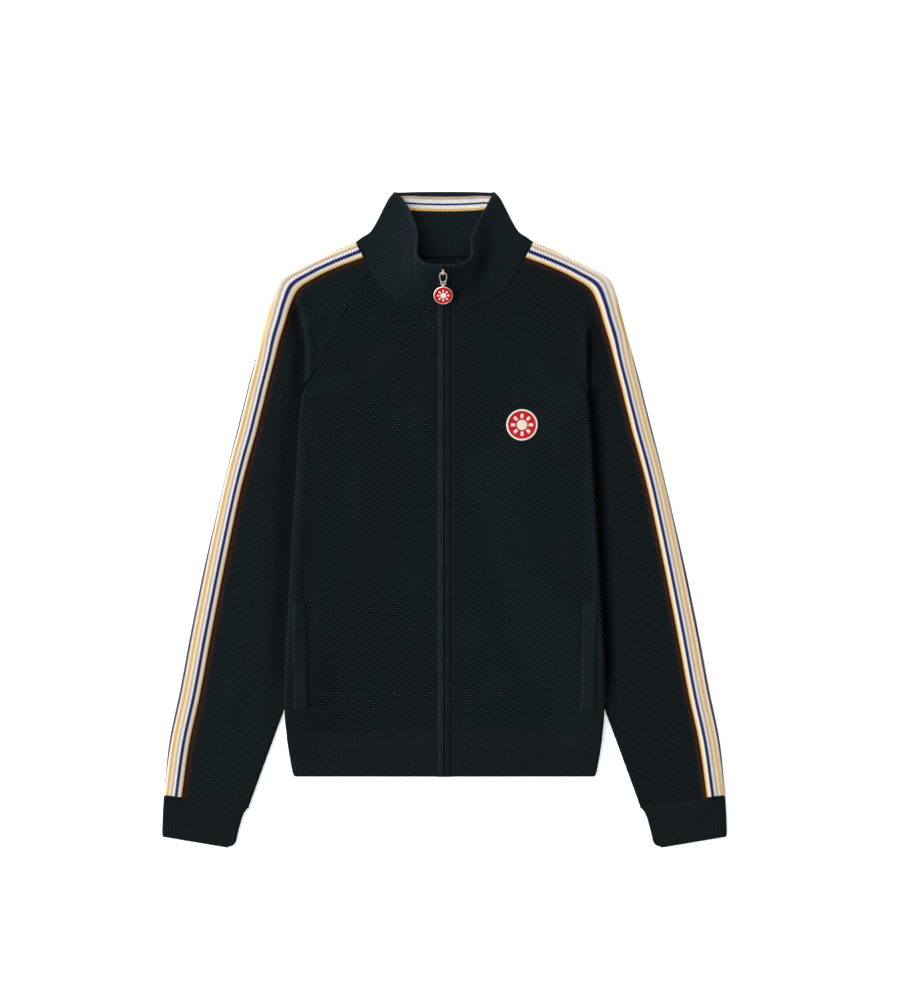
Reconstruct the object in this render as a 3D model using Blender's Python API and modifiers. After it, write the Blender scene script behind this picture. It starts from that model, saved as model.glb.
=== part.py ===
"""Track jacket in pique knit, zipped up and laid flat on its back.

X runs across the jacket towards the wearer's left, Y runs from the hem to the collar, and Z is up
from the surface it lies on. The body lies on the inner part of both sleeves. Sizes are in
millimetres, and the meshes are made in metres.
"""

import math

import bmesh
import bpy
from mathutils import Matrix, Vector

MM = 0.001
COLLECTION = "track_jacket"

# Cloth and hardware
KNIT = 2.5
RIB = 3.0
COLLAR_RIB = 3.2
TAPE = 1.3
ZIP_TAPE = 1.0
SEAM = 0.3
LIE = 0.3
TAPE_LIE = 0.6
WELT_LIE = 0.8

# How the layers lie
SLEEVE_STACK = 6.5
RAMP = 34.0
RAMP_CLEAR = 4.0
SIDE_GAP = 1.8
CENTRE_GAP = 3.4
SLEEVE_GAP = 2.3
TUCK_GAP = 0.5

# Front opening
PLACKET_IN = 0.3
PLACKET_OUT = 8.0
FRONT_EDGE = 8.3
ZIP_HALF = 13.0

# Body up to the underarm: y, side (half width), tuck (inner edge of the sleeve under it),
# wrap (how far the front turns under to the side seam), degrees (how far round it turns)
BODY = (
    (-277.5, 200.0, 216.4, 45.0, 180.0),
    (-258.0, 202.2, 209.2, 45.0, 180.0),
    (-237.0, 203.4, 201.6, 45.0, 180.0),
    (-203.0, 203.0, 189.1, 45.0, 180.0),
    (-162.0, 201.2, 174.1, 45.0, 180.0),
    (-128.0, 199.2, 161.7, 45.0, 180.0),
    (-95.0, 197.2, 149.6, 45.0, 180.0),
    (-30.0, 194.0, 125.8, 45.0, 180.0),
    (30.0, 190.0, 107.0, 45.0, 180.0),
    (65.0, 187.7, 115.0, 42.0, 180.0),
    (95.0, 186.2, 134.0, 34.0, 180.0),
    (120.0, 184.6, 157.0, 22.0, 180.0),
    (137.0, 183.4, 176.0, 12.0, 180.0),
    (150.0, 181.4, 183.0, 4.0, 180.0),
    (165.0, 178.2, 184.0, 0.6, 90.0),
)

# Raglan seams from the underarm to the neck: front seam x and y, y of the front at the zip,
# back seam x and y, y of the back at the centre, outer fold of the sleeve x and y,
# width of the striped tape that shows
RAGLAN = (
    (179.4, 165.0, 165.0, 176.0, 165.0, 165.0, 246.3, 181.0, 21.5),
    (170.0, 178.5, 177.0, 168.5, 182.0, 183.0, 238.0, 211.0, 21.5),
    (160.5, 194.0, 190.0, 158.0, 201.0, 203.0, 230.5, 238.0, 22.0),
    (149.0, 215.5, 203.0, 146.5, 224.0, 224.0, 224.0, 262.0, 22.5),
    (138.0, 237.5, 216.0, 135.0, 248.0, 245.0, 218.5, 284.0, 22.5),
    (126.5, 260.5, 229.0, 123.0, 272.5, 266.0, 208.0, 306.5, 22.5),
    (115.0, 281.5, 242.0, 111.0, 297.0, 287.0, 182.0, 321.5, 22.0),
    (104.5, 299.0, 255.0, 99.5, 320.0, 308.0, 149.0, 337.3, 21.5),
    (94.0, 315.0, 268.3, 88.0, 342.0, 330.0, 114.0, 352.0, 21.0),
)
NECK_CURVE = 3.6

# Sleeve below the underarm: inner edge x and y, outer edge x and y, width of tape that shows
SLEEVE = (
    (181.4, 150.6, 250.0, 166.5, 21.5),
    (176.0, 137.0, 253.0, 154.0, 21.5),
    (154.0, 116.0, 257.4, 137.0, 21.5),
    (129.0, 88.0, 263.0, 115.0, 21.5),
    (111.5, 56.0, 270.8, 85.0, 22.0),
    (107.5, 20.0, 279.6, 49.0, 23.0),
    (128.0, -36.0, 293.0, -8.0, 24.5),
    (152.5, -103.0, 309.0, -77.7, 26.0),
    (177.0, -170.0, 323.5, -147.5, 27.0),
    (201.6, -237.0, 336.7, -217.6, 27.0),
    (224.0, -298.0, 349.1, -280.6, 25.5),
    (248.0, -363.8, 356.5, -349.6, 23.5),
)
TAPE_BACK = 8.0
# Points of a section before the tape's edge
LAYER_POINTS = 5

# Cuff: inner edge x and y, outer edge x and y
CUFF = (
    (248.4, -364.8, 356.5, -350.6),
    (254.4, -372.4, 356.8, -358.6),
    (258.8, -386.0, 357.2, -373.0),
    (262.4, -400.0, 357.6, -387.0),
    (265.4, -410.5, 357.9, -397.0),
    (270.5, -415.8, 358.0, -401.6),
)

# Hem band: y, half width
HEM = (
    (-278.1, 200.0),
    (-302.0, 196.6),
    (-326.4, 192.0),
)

# Collar's top edge from the zip to the centre back: turn (0 to 1), x, y, z
COLLAR_TOP = (
    (0.00, 8.3, 321.5, 34.0),
    (0.08, 18.0, 321.8, 33.5),
    (0.14, 27.0, 325.0, 32.0),
    (0.19, 33.2, 331.0, 29.5),
    (0.24, 35.3, 339.0, 26.5),
    (0.29, 34.2, 350.0, 23.0),
    (0.36, 34.5, 364.0, 19.0),
    (0.44, 40.5, 383.0, 14.5),
    (0.53, 48.5, 398.0, 10.5),
    (0.60, 55.5, 408.0, 7.8),
    (0.64, 58.9, 411.9, 6.8),
)
FOLD_START, FOLD_END = 0.64, 0.72
FRONT_NECK_TURN, BACK_NECK_TURN = 0.46, 0.80
COLLAR_ROWS = (0.0, 0.12, 0.27, 0.5, 0.76, 1.0)
# Collar's side fold from the neck to the top corner: height (0 to 1), x, y
COLLAR_SIDE = (
    (0.0, 113.6, 352.4),
    (0.12, 105.4, 358.4),
    (0.27, 96.3, 364.0),
    (0.5, 87.0, 377.6),
    (0.76, 75.4, 396.4),
    (1.0, 64.0, 414.4),
)
# Collar's neck corners: front end and back end of its side fold, and the back raglan seam
NECK_FRONT_END = (110.2, 346.6)
NECK_BACK_END = (110.2, 348.4)
NECK_BACK_SEAM = (88.0, 342.6)
NECK_BACK_Y = 330.6
NECK_FRONT_LEVEL = 6.2
COLLAR_FOLD = 2.4
FOLD_OUTWARD = (0.78, 0.62)
COLLAR_BACK_TOP = 415.8
COLLAR_RISE = 1.5

# Pocket welt on the front: top and bottom y, inner and outer x at each
WELT_TOP, WELT_BOTTOM = -104.8, -242.0
WELT_TOP_X = (176.0, 193.4)
WELT_BOTTOM_X = (173.0, 190.4)
WELT = 2.0

# Chest patch
PATCH_X, PATCH_Y = 98.4, 120.0
PATCH_RADIUS = 20.0
PATCH = 1.5

# Zip hardware, along the collar's slope
HARDWARE_X = -1.5
SLIDER_Y = 314.5
SLIDER = (6.6, 9.0, 2.2)
BAIL_RADIUS = 2.5
BAIL_WIRE = 0.75
BAIL_UP = 0.9
HINGE_UP = 1.25
PULL_LENGTH = 17.5
PULL_WIDTH = 9.4
PULL_NECK = 5.4
PULL_PLATE = 1.2
PULL_LIFT = 4.0
PULL_BAR = 1.1
PULL_SLOT = (2.8, 2.9)
CHARM_RADIUS = 12.5
CHARM = 1.8
CHARM_RING = 2.1
CHARM_WIRE = 0.5
CHARM_LIE = 27.0

DARK_KNIT = (0.0062, 0.0095, 0.0115)
DARK_RIB = (0.0075, 0.0110, 0.0140)
CREAM = (0.78, 0.70, 0.58)
BLACK = (0.006, 0.007, 0.009)
GOLD = (0.72, 0.52, 0.25)
RED = (0.55, 0.015, 0.02)


def ease(value):
    """Smooth step from 0 to 1."""
    value = min(max(value, 0.0), 1.0)
    return value * value * (3.0 - 2.0 * value)


def between(table, at, column):
    """A column's value at this place of a table sorted on its first column, by straight lines."""
    rows = sorted(table)
    at = min(max(at, rows[0][0]), rows[-1][0])
    for low, high in zip(rows, rows[1:]):
        if at <= high[0]:
            share = (at - low[0]) / (high[0] - low[0])
            return low[column] + (high[column] - low[column]) * share
    return rows[-1][column]


def lift(x, y):
    """Height of the body's underside where it lies on the tucked sleeve."""
    tuck = between(BODY, y, 2)
    climb = ease((abs(x) - (tuck - RAMP_CLEAR - RAMP)) / RAMP)
    below_underarm = 1.0 - ease((y - 147.0) / 38.0)
    return SLEEVE_STACK * climb * below_underarm


def body_gap(x):
    """Room between the back and the front."""
    return SIDE_GAP + (CENTRE_GAP - SIDE_GAP) * (1.0 - ease((abs(x) - 20.0) / 130.0))


def back_level(x, y):
    return lift(x, y) + KNIT / 2


def front_level(x, y):
    return lift(x, y) + KNIT * 1.5 + body_gap(x)


def material(name, colour, roughness, metallic=0.0):
    made = bpy.data.materials.new(name)
    made.use_nodes = True
    shader = made.node_tree.nodes["Principled BSDF"]
    shader.inputs["Base Color"].default_value = (*colour, 1.0)
    shader.inputs["Roughness"].default_value = roughness
    shader.inputs["Metallic"].default_value = metallic
    return made


def link(obj, finish):
    obj.data.materials.clear()
    obj.data.materials.append(finish)
    for collection in list(obj.users_collection):
        collection.objects.unlink(obj)
    bpy.data.collections[COLLECTION].objects.link(obj)
    return obj


def sheet(name, rows, thickness, finish, side=1, ring=False, even=True):
    """Cloth through rows of points on its middle surface. side -1 makes the mirrored piece."""
    mesh = bpy.data.meshes.new(name)
    made = bmesh.new()
    grid = [
        [made.verts.new((side * x * MM, y * MM, z * MM)) for x, y, z in row] for row in rows
    ]
    for first, second in zip(grid, grid[1:]):
        pairs = list(zip(first, first[1:], second[1:], second))
        if ring:
            pairs.append((first[-1], first[0], second[0], second[-1]))
        for corners in pairs:
            made.faces.new(corners)
    bmesh.ops.recalc_face_normals(made, faces=made.faces)
    made.to_mesh(mesh)
    made.free()
    obj = bpy.data.objects.new(name, mesh)
    bpy.data.collections[COLLECTION].objects.link(obj)
    link(obj, finish)
    wall = obj.modifiers.new("wall", "SOLIDIFY")
    wall.thickness = thickness * MM
    wall.offset = 0.0
    wall.use_even_offset = even
    return obj


def side_name(side):
    return "left" if side > 0 else "right"


def front_body_row(y, side_x, tuck, wrap, degrees):
    """The front from the zip over the side fold to the side seam underneath."""
    low = back_level(side_x, y)
    radius = (front_level(side_x, y) - low) / 2
    turn = side_x - KNIT / 2 - radius
    ramp_top = min(tuck - RAMP_CLEAR, turn - 10.0)
    ramp_foot = ramp_top - RAMP
    xs = [FRONT_EDGE, (FRONT_EDGE + ramp_foot) / 2]
    xs += [ramp_foot + RAMP * k / 3 for k in range(4)]
    xs.append(turn)
    row = [(x, y, front_level(x, y)) for x in xs]
    for k in (1, 2, 3):
        angle = math.radians(degrees * k / 3)
        row.append((turn + radius * math.sin(angle), y, low + radius * (1 + math.cos(angle))))
    last_x, _, last_z = row[-1]
    for k in (1, 2):
        run = wrap * k / 2
        x = last_x + run * math.cos(angle)
        z = back_level(x, y) if degrees == 180.0 else last_z - run * math.sin(angle)
        row.append((x, y, z))
    return row


def side_seam_x(y, side_x, tuck, wrap, degrees):
    """Where the back meets the edge that the front turns under."""
    if degrees < 180.0:
        return RAGLAN[0][3]
    radius = (front_level(side_x, y) - back_level(side_x, y)) / 2
    return side_x - KNIT / 2 - radius - wrap


def neck_steps():
    """Shares of the front neck from the zip to the raglan seam, closer together near the seam."""
    first = FRONT_EDGE / RAGLAN[-1][0]
    count = len(front_body_row(*BODY[0])) - 1
    return [first + (1 - first) * (1 - (1 - k / count) ** 1.4) for k in range(count + 1)]


def neck_point(share):
    """A point on the front neck seam."""
    seam_x, seam_y, centre_y = RAGLAN[-1][:3]
    return seam_x * share, centre_y + (seam_y - centre_y) * share**NECK_CURVE


def front_raglan_row(index):
    """The front from the zip to the raglan seam."""
    seam_x, seam_y, centre_y = RAGLAN[index][:3]
    share_up = index / (len(RAGLAN) - 1)
    power = 1.6 + (NECK_CURVE - 1.6) * share_up
    low_row = front_body_row(*BODY[-1])
    flat_count = 7
    last = len(low_row) - 1
    row = []
    for k, neck_share in enumerate(neck_steps()):
        if k < flat_count:
            low_share = low_row[k][0] / BODY[-1][1]
        else:
            low_share = 1 - 0.0075 * (last - k)
        share = low_share + (neck_share - low_share) * share_up
        x = seam_x * share
        y = centre_y + (seam_y - centre_y) * share**power
        row.append((x, y, front_level(x, y)))
    return row


def pull_in(row, gap):
    """Moves a row's last point back along the row, to leave a seam's gap."""
    last, before = Vector(row[-1]), Vector(row[-2])
    return row[:-1] + [tuple(last + (before - last).normalized() * gap)]


def front_rows():
    rows = [front_body_row(*values) for values in BODY]
    rows += [front_raglan_row(index) for index in range(1, len(RAGLAN))]
    rows = [pull_in(row, SEAM / 2) for row in rows]
    rows[-1] = [(x, y - SEAM / 2, z) for x, y, z in rows[-1]]
    return rows


def back_half_row(y, side_x, tuck, wrap, degrees):
    """The back from its centre to the side seam, below the underarm."""
    seam = side_seam_x(y, side_x, tuck, wrap, degrees)
    ramp_top = min(tuck - RAMP_CLEAR, seam - 4.0)
    ramp_foot = ramp_top - RAMP
    xs = [0.0, ramp_foot / 2]
    xs += [ramp_foot + RAMP * k / 3 for k in range(4)]
    xs.append(seam)
    return [(x, y, back_level(x, y)) for x in xs]


def back_raglan_row(index):
    """The back from its centre to the raglan seam."""
    seam_x, seam_y, centre_y = RAGLAN[index][3:6]
    low_row = back_half_row(*BODY[-1])
    row = []
    for x_low, _, _ in low_row:
        share = x_low / low_row[-1][0]
        x = seam_x * share
        y = centre_y + (seam_y - centre_y) * share**2
        row.append((x, y, back_level(x, y)))
    return row


def back_rows():
    halves = [back_half_row(*values) for values in BODY]
    halves += [back_raglan_row(index) for index in range(1, len(RAGLAN))]
    halves = [pull_in(row, SEAM) for row in halves]
    halves[-1] = [(x, y - SEAM / 2, z) for x, y, z in halves[-1]]
    return [[(-x, y, z) for x, y, z in row[:0:-1]] + row for row in halves]


def section_points(frame, places):
    """Points of a sleeve's section, from distances along it and heights, put in its upright plane."""
    inner, along = frame
    return [(inner.x + along.x * d, inner.y + along.y * d, z) for d, z in places]


def fold_normals(outers):
    """Level directions square to the outer fold, for each section."""
    normals = []
    for k in range(len(outers)):
        ahead, behind = outers[max(k - 1, 0)], outers[min(k + 1, len(outers) - 1)]
        run = (behind - ahead).normalized()
        normals.append(Vector((-run.y, run.x)))
    return normals


def sleeve_sections():
    """The sleeve's sections from the neck to the cuff, for the wearer's left.

    Each is a dict: points run from the front seam over the outer fold to the back seam, and tape
    holds those of the striped tape that lies on them.
    """
    inners, backs, outers, shows, closed = [], [], [], [], []
    for row in reversed(RAGLAN):
        inners.append(Vector(row[0:2]))
        backs.append(Vector(row[3:5]))
        outers.append(Vector(row[6:8]))
        shows.append(row[8])
        closed.append(False)
    for inner_x, inner_y, outer_x, outer_y, show in SLEEVE:
        inners.append(Vector((inner_x, inner_y)))
        backs.append(Vector((inner_x, inner_y)))
        outers.append(Vector((outer_x, outer_y)))
        shows.append(show)
        closed.append(True)
    normals = fold_normals(outers)
    sections = []
    for k, inner in enumerate(inners):
        along = (outers[k] - inner).normalized()
        length = (outers[k] - inner).length - (TAPE + TAPE_LIE) / abs(along.dot(normals[k]))
        rise = lift(inner.x, inner.y) if not closed[k] else 0.0
        if k == len(RAGLAN):
            rise = 0.3
        sections.append(sleeve_section(inner, backs[k], along, length, rise, closed[k], shows[k]))
    return sections


def sleeve_gap(x, y, distance, closed):
    """Room between the sleeve's two layers."""
    if closed:
        outside = ease((x - between(BODY, y, 1)) / 30.0)
        return TUCK_GAP + (SLEEVE_GAP - TUCK_GAP) * outside
    at_seam = body_gap(x)
    return at_seam + (SLEEVE_GAP - at_seam) * ease(distance / 30.0)


def sleeve_section(inner, back, along, length, rise, closed, show):
    """One section, with the points of the striped tape that lies on it.

    run holds (distance, height, out, up) from the front seam over the outer fold, where out and up
    point away from the cloth.
    """
    radius = KNIT / 2 + 0.45
    turn = length - KNIT / 2 - radius

    def layer(distance, is_front):
        x, y = inner.x + along.x * distance, inner.y + along.y * distance
        raised = rise * (1 - ease(distance / 28.0))
        raised += (TAPE + TAPE_LIE + 0.1) * ease((distance - turn + 24.0) / 14.0)
        if not is_front:
            return raised + KNIT / 2
        gap = sleeve_gap(x, y, distance, closed)
        near_fold = ease((distance - turn + 16.0) / 16.0)
        gap += (2 * radius - KNIT - gap) * near_fold
        return raised + KNIT * 1.5 + gap

    tape_edge = turn - max(show - KNIT / 2 - radius, 6.0)
    run = []
    if closed:
        middle = (layer(0, True) - layer(0, False)) / 2
        start = KNIT / 2 + middle
        for degrees in (90, 45, 0):
            angle = math.radians(degrees)
            height = layer(start, True) - middle * (1 - math.cos(angle))
            if degrees == 90:
                height += SEAM / 2
            run.append((start - middle * math.sin(angle), height, 0, 1))
    else:
        start = 3.0
        for distance in (SEAM / 2, 1.5, start):
            run.append((distance, layer(distance, True), 0, 1))
    for share in (0.35, 0.7, 1.0):
        distance = start + (tape_edge - start) * share
        run.append((distance, layer(distance, True), 0, 1))
    top, bottom = layer(turn, True), layer(turn, False)
    for degrees, lean, spread in ((0, 15, 15), (60, 60, 30), (120, 120, 30), (180, 165, 15)):
        angle, lean = math.radians(degrees), math.radians(lean)
        wider = 1 / math.cos(math.radians(spread))
        distance = turn + radius * math.sin(angle)
        height = (top + bottom) / 2 + radius * math.cos(angle)
        run.append((distance, height, wider * math.sin(lean), wider * math.cos(lean)))
    frame = (inner, along)
    points = section_points(frame, [(d, z) for d, z, _, _ in run])
    corner = inner + along * turn
    seam = inner + along * start if closed else back
    to_seam = (seam - corner).normalized()
    to_seam_length = (seam - corner).length - (0.0 if closed else start)
    for share in (TAPE_BACK / to_seam_length, 0.45, 0.72):
        place = corner + to_seam * to_seam_length * share
        height = layer(max(turn - to_seam_length * share, 0.0), False)
        points.append((place.x, place.y, height))
    if closed:
        for degrees in (0, 45, 90):
            angle = math.radians(degrees)
            height = layer(start, False) + middle * (1 - math.cos(angle))
            if degrees == 90:
                height -= SEAM / 2
            points += section_points(frame, [(start - middle * math.sin(angle), height)])
    else:
        low = lift(back.x, back.y) + KNIT / 2
        for distance in (start, 1.5, SEAM / 2):
            place = back - to_seam * distance
            points.append((place.x, place.y, low))
    reach = KNIT / 2 + TAPE_LIE + TAPE / 2
    from_edge = run[LAYER_POINTS:]
    tape = [(d + out * reach, z + up * reach) for d, z, out, up in from_edge]
    tape_points = section_points(frame, tape)
    back_x, back_y, back_z = points[len(run)]
    tape_points.append((back_x, back_y, back_z - reach))
    return {"points": points, "tape": tape_points}


def cuff_row(inner_x, inner_y, outer_x, outer_y):
    """A ring round the flattened cuff."""
    inner, outer = Vector((inner_x, inner_y)), Vector((outer_x, outer_y))
    along = (outer - inner).normalized()
    length = (outer - inner).length
    gap = 1.4
    radius = (RIB + gap) / 2
    low = RIB / 2 + 0.1
    high = low + 2 * radius
    near, far = RIB / 2 + radius, length - RIB / 2 - radius
    places = [(near + (far - near) * share, high) for share in (0.0, 0.33, 0.67, 1.0)]
    places += [
        (far + radius * math.sin(a), low + radius * (1 + math.cos(a)))
        for a in (math.radians(60), math.radians(120))
    ]
    places += [(near + (far - near) * share, low) for share in (1.0, 0.67, 0.33, 0.0)]
    places += [
        (near - radius * math.sin(a), low + radius * (1 + math.cos(a)))
        for a in (math.radians(120), math.radians(60))
    ]
    return section_points((inner, along), places)


def hem_rows():
    """The hem band from one zip edge round the back to the other."""
    rows = []
    for y, half in HEM:
        settle = ease((-278.0 - y) / 30.0)

        def low(x, settle=settle, y=y):
            return RIB / 2 + lift(x, -277.5) * (1 - settle)

        def high(x, low=low):
            return low(x) + RIB + body_gap(x) - 0.5

        radius = (high(half) - low(half)) / 2
        turn = half - RIB / 2 - radius
        half_row = [(x, y, high(x)) for x in (FRONT_EDGE, 50, 95, 135, 165, 185, turn)]
        for degrees in (60, 120):
            angle = math.radians(degrees)
            half_row.append(
                (turn + radius * math.sin(angle), y, low(half) + radius * (1 + math.cos(angle)))
            )
        half_row += [(x, y, low(x)) for x in (turn, 180, 155, 100, 0)]
        rows.append(half_row + [(-x, py, z) for x, py, z in half_row[-2::-1]])
    return rows


def collar_bottom(turn):
    """A point on the neck seam's collar side, and the collar's level there."""
    if turn <= FRONT_NECK_TURN:
        steps = neck_steps()
        place = turn / FRONT_NECK_TURN * (len(steps) - 1)
        index = min(int(place), len(steps) - 2)
        share = steps[index] + (steps[index + 1] - steps[index]) * (place - index)
        x, y = neck_point(share)
        return x, y + SEAM, front_level(x, y) + 0.2
    if turn <= FOLD_START:
        share = (turn - FRONT_NECK_TURN) / (FOLD_START - FRONT_NECK_TURN)
        seam_x, seam_y = RAGLAN[-1][:2]
        point = Vector((seam_x, seam_y + SEAM)).lerp(Vector(NECK_FRONT_END), share)
        return point.x, point.y, NECK_FRONT_LEVEL + 0.2 * share
    if turn <= BACK_NECK_TURN:
        share = (turn - FOLD_END) / (BACK_NECK_TURN - FOLD_END)
        point = Vector(NECK_BACK_END).lerp(Vector(NECK_BACK_SEAM), share)
        return point.x, point.y, COLLAR_RIB / 2
    share = (1 - turn) / (1 - BACK_NECK_TURN)
    seam_x, seam_y = NECK_BACK_SEAM
    return seam_x * share, NECK_BACK_Y + (seam_y - NECK_BACK_Y) * share**2, COLLAR_RIB / 2


def collar_top(turn):
    if turn <= FOLD_START:
        return tuple(between(COLLAR_TOP, turn, column) for column in (1, 2, 3))
    share = (1 - turn) / (1 - FOLD_END)
    return COLLAR_TOP[-1][1] * share, COLLAR_BACK_TOP - 2.0 * share**6, COLLAR_RIB / 2


def collar_half_row(height):
    """The collar from the zip over its side fold to the centre back, at one height."""
    side_x = between(COLLAR_SIDE, height, 1)
    side_y = between(COLLAR_SIDE, height, 2)
    low, high = COLLAR_SIDE[0], COLLAR_SIDE[-1]
    straight_x = low[1] + (high[1] - low[1]) * height
    straight_y = low[2] + (high[2] - low[2]) * height
    flare = Vector((side_x - straight_x, side_y - straight_y))
    count = len(neck_steps()) - 1
    turns = [FRONT_NECK_TURN * k / count for k in range(count + 1)]
    turns += [FRONT_NECK_TURN + (FOLD_START - FRONT_NECK_TURN) * k / 3 for k in (1, 2)]
    row = []
    for turn in turns:
        row.append(collar_point(turn, height, flare))
    outward = Vector(FOLD_OUTWARD)
    centre = Vector((side_x, side_y)) - outward * (COLLAR_RIB / 2 + COLLAR_FOLD)
    for degrees in (0, 60, 120, 180):
        angle = math.radians(degrees)
        place = centre + outward * COLLAR_FOLD * math.sin(angle)
        z = COLLAR_RIB / 2 + COLLAR_FOLD * (1 + math.cos(angle))
        row.append((place.x, place.y, z))
    for turn in (BACK_NECK_TURN, 0.87, 0.94, 1.0):
        row.append(collar_point(turn, height, flare))
    return row


def collar_point(turn, height, flare):
    bottom, top = Vector(collar_bottom(turn)), Vector(collar_top(turn))
    point = bottom.lerp(top, height)
    point.z = bottom.z + (top.z - bottom.z) * height**COLLAR_RISE
    near_fold = ease(1 - abs(turn - (FOLD_START + FOLD_END) / 2) / 0.3)
    point.x += flare.x * near_fold
    point.y += flare.y * near_fold
    return tuple(point)


def collar_rows():
    rows = []
    for height in COLLAR_ROWS:
        half = collar_half_row(height)
        rows.append(half + [(-x, y, z) for x, y, z in half[-2::-1]])
    return rows


def centre_line():
    """The middle of the front edge from the hem to the collar's top, as (y, z)."""
    line = [(y, front_level(FRONT_EDGE, y)) for y in (-326.4, -277.5, -155.0, 30.0, 165.0, 255.0)]
    for height in COLLAR_ROWS:
        _, y, z = collar_point(0.0, height, Vector((0, 0)))
        line.append((y, z + 0.1))
    return line


def along_centre(inner_x, outer_x, offset, top_trim=0.0):
    """Rows of a strip that follows the centre line, moved along the line's normal."""
    line = [Vector(point) for point in centre_line()]
    rows = []
    for k, point in enumerate(line):
        ahead = line[min(k + 1, len(line) - 1)]
        behind = line[max(k - 1, 0)]
        run = (ahead - behind).normalized()
        place = point + Vector((-run.y, run.x)) * offset
        if k == len(line) - 1:
            place -= run * top_trim
        rows.append([(inner_x, place.x, place.y), (outer_x, place.x, place.y)])
    return rows


def height_on(rows, x, y):
    """Height of a panel's rows at x and y, by straight lines."""
    for low, high in zip(rows, rows[1:]):
        if low[0][1] <= y <= high[0][1]:
            share = (y - low[0][1]) / (high[0][1] - low[0][1])
            line = [Vector(a).lerp(Vector(b), share) for a, b in zip(low, high)]
            for first, second in zip(line, line[1:]):
                if first.x <= x <= second.x:
                    part = (x - first.x) / (second.x - first.x)
                    return first.z + (second.z - first.z) * part
    return front_level(x, y)


def welt_rows():
    """The welt lies on the front, so its heights are the front's, moved up."""
    fronts = front_rows()
    ys = [WELT_BOTTOM]
    ys += [row[0] for row in BODY if WELT_BOTTOM < row[0] < WELT_TOP]
    ys.append(WELT_TOP)
    rows = []
    for y in ys:
        share = (y - WELT_BOTTOM) / (WELT_TOP - WELT_BOTTOM)
        inner = WELT_BOTTOM_X[0] + (WELT_TOP_X[0] - WELT_BOTTOM_X[0]) * share
        outer = WELT_BOTTOM_X[1] + (WELT_TOP_X[1] - WELT_BOTTOM_X[1]) * share
        row = []
        for j in range(6):
            x = inner + (outer - inner) * j / 5
            beside = (height_on(fronts, x + step, y) for step in (-3.0, 0.0, 3.0))
            row.append((x, y, max(beside) + KNIT / 2 + WELT_LIE + WELT / 2))
        rows.append(row)
    return rows


def disc(name, radius, thickness, finish, segments=28, rim=0.35):
    """A round plate with softened rims, centred on its own origin."""
    mesh = bpy.data.meshes.new(name)
    made = bmesh.new()
    bmesh.ops.create_cone(
        made,
        cap_ends=True,
        segments=segments,
        radius1=radius * MM,
        radius2=radius * MM,
        depth=thickness * MM,
    )
    made.to_mesh(mesh)
    made.free()
    obj = bpy.data.objects.new(name, mesh)
    bpy.data.collections[COLLECTION].objects.link(obj)
    link(obj, finish)
    soften = obj.modifiers.new("rim", "BEVEL")
    soften.width = rim * MM
    soften.segments = 2
    soften.angle_limit = math.radians(40)
    return obj


def slope_at(y):
    """Height and slope angle of the centre line at y."""
    line = centre_line()
    for low, high in zip(line, line[1:]):
        if y <= high[0]:
            share = (y - low[0]) / (high[0] - low[0])
            angle = math.atan2(high[1] - low[1], high[0] - low[0])
            return low[1] + (high[1] - low[1]) * share, angle
    return line[-1][1], 0.0


def torus(name, major, minor, finish, axis_turn, segments=(20, 8)):
    bpy.ops.mesh.primitive_torus_add(
        major_radius=major * MM,
        minor_radius=minor * MM,
        major_segments=segments[0],
        minor_segments=segments[1],
    )
    obj = bpy.context.object
    obj.name = name
    obj.data.transform(axis_turn)
    link(obj, finish)
    return obj


def join(obj, others):
    """Unites others with obj, and keeps them out of the result."""
    for other in others:
        union = obj.modifiers.new("union", "BOOLEAN")
        union.operation = "UNION"
        union.object = other
        other.hide_render = True
        other.display_type = "WIRE"
    return obj


def zip_slider(metal, cutters):
    """Slider body on the plackets, with the bail that holds the pull."""
    z, angle = slope_at(SLIDER_Y)
    width, length, height = SLIDER
    mesh = bpy.data.meshes.new("zip_slider")
    made = bmesh.new()
    bmesh.ops.create_cube(made, size=1.0)
    bmesh.ops.scale(made, vec=(width * MM, length * MM, height * MM), verts=made.verts)
    made.to_mesh(mesh)
    made.free()
    body = bpy.data.objects.new("zip_slider", mesh)
    bpy.data.collections[COLLECTION].objects.link(body)
    link(body, metal)
    soften = body.modifiers.new("edges", "BEVEL")
    soften.width = 0.7 * MM
    soften.segments = 2
    upright = Matrix.Rotation(math.radians(90), 4, "Y")
    bail = torus("bail_shape", BAIL_RADIUS, BAIL_WIRE, metal, upright)
    bail.location = (0, 0, (height / 2 + BAIL_UP) * MM)
    join(body, [bail])
    cutters.append(bail)
    normal = Vector((0, -math.sin(angle), math.cos(angle)))
    seat = Vector((HARDWARE_X, SLIDER_Y, z)) + normal * (KNIT / 2 + 2 * LIE + height / 2)
    body.location = seat * MM
    body.rotation_euler = (angle, 0, 0)
    bail.parent = body
    return body, seat, normal, angle


def pull_outline():
    """Half outline of the pull, its hinge end at the origin and its tail along -Y."""
    wide, neck = PULL_WIDTH / 2, PULL_NECK / 2
    points = [(wide * 0.62, 0.8), (wide * 0.9, -1.2), (wide, -4.0), (wide * 0.97, -6.5)]
    points += [(wide * 0.78, -9.0), (neck, -11.5), (neck, -PULL_LENGTH + 0.8)]
    points.append((neck - 0.8, -PULL_LENGTH))
    return points


def closed_spline(curve, points):
    spline = curve.splines.new("POLY")
    spline.points.add(len(points) - 1)
    for target, (x, y) in zip(spline.points, points):
        target.co = (x * MM, y * MM, 0, 1)
    spline.use_cyclic_u = True


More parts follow.
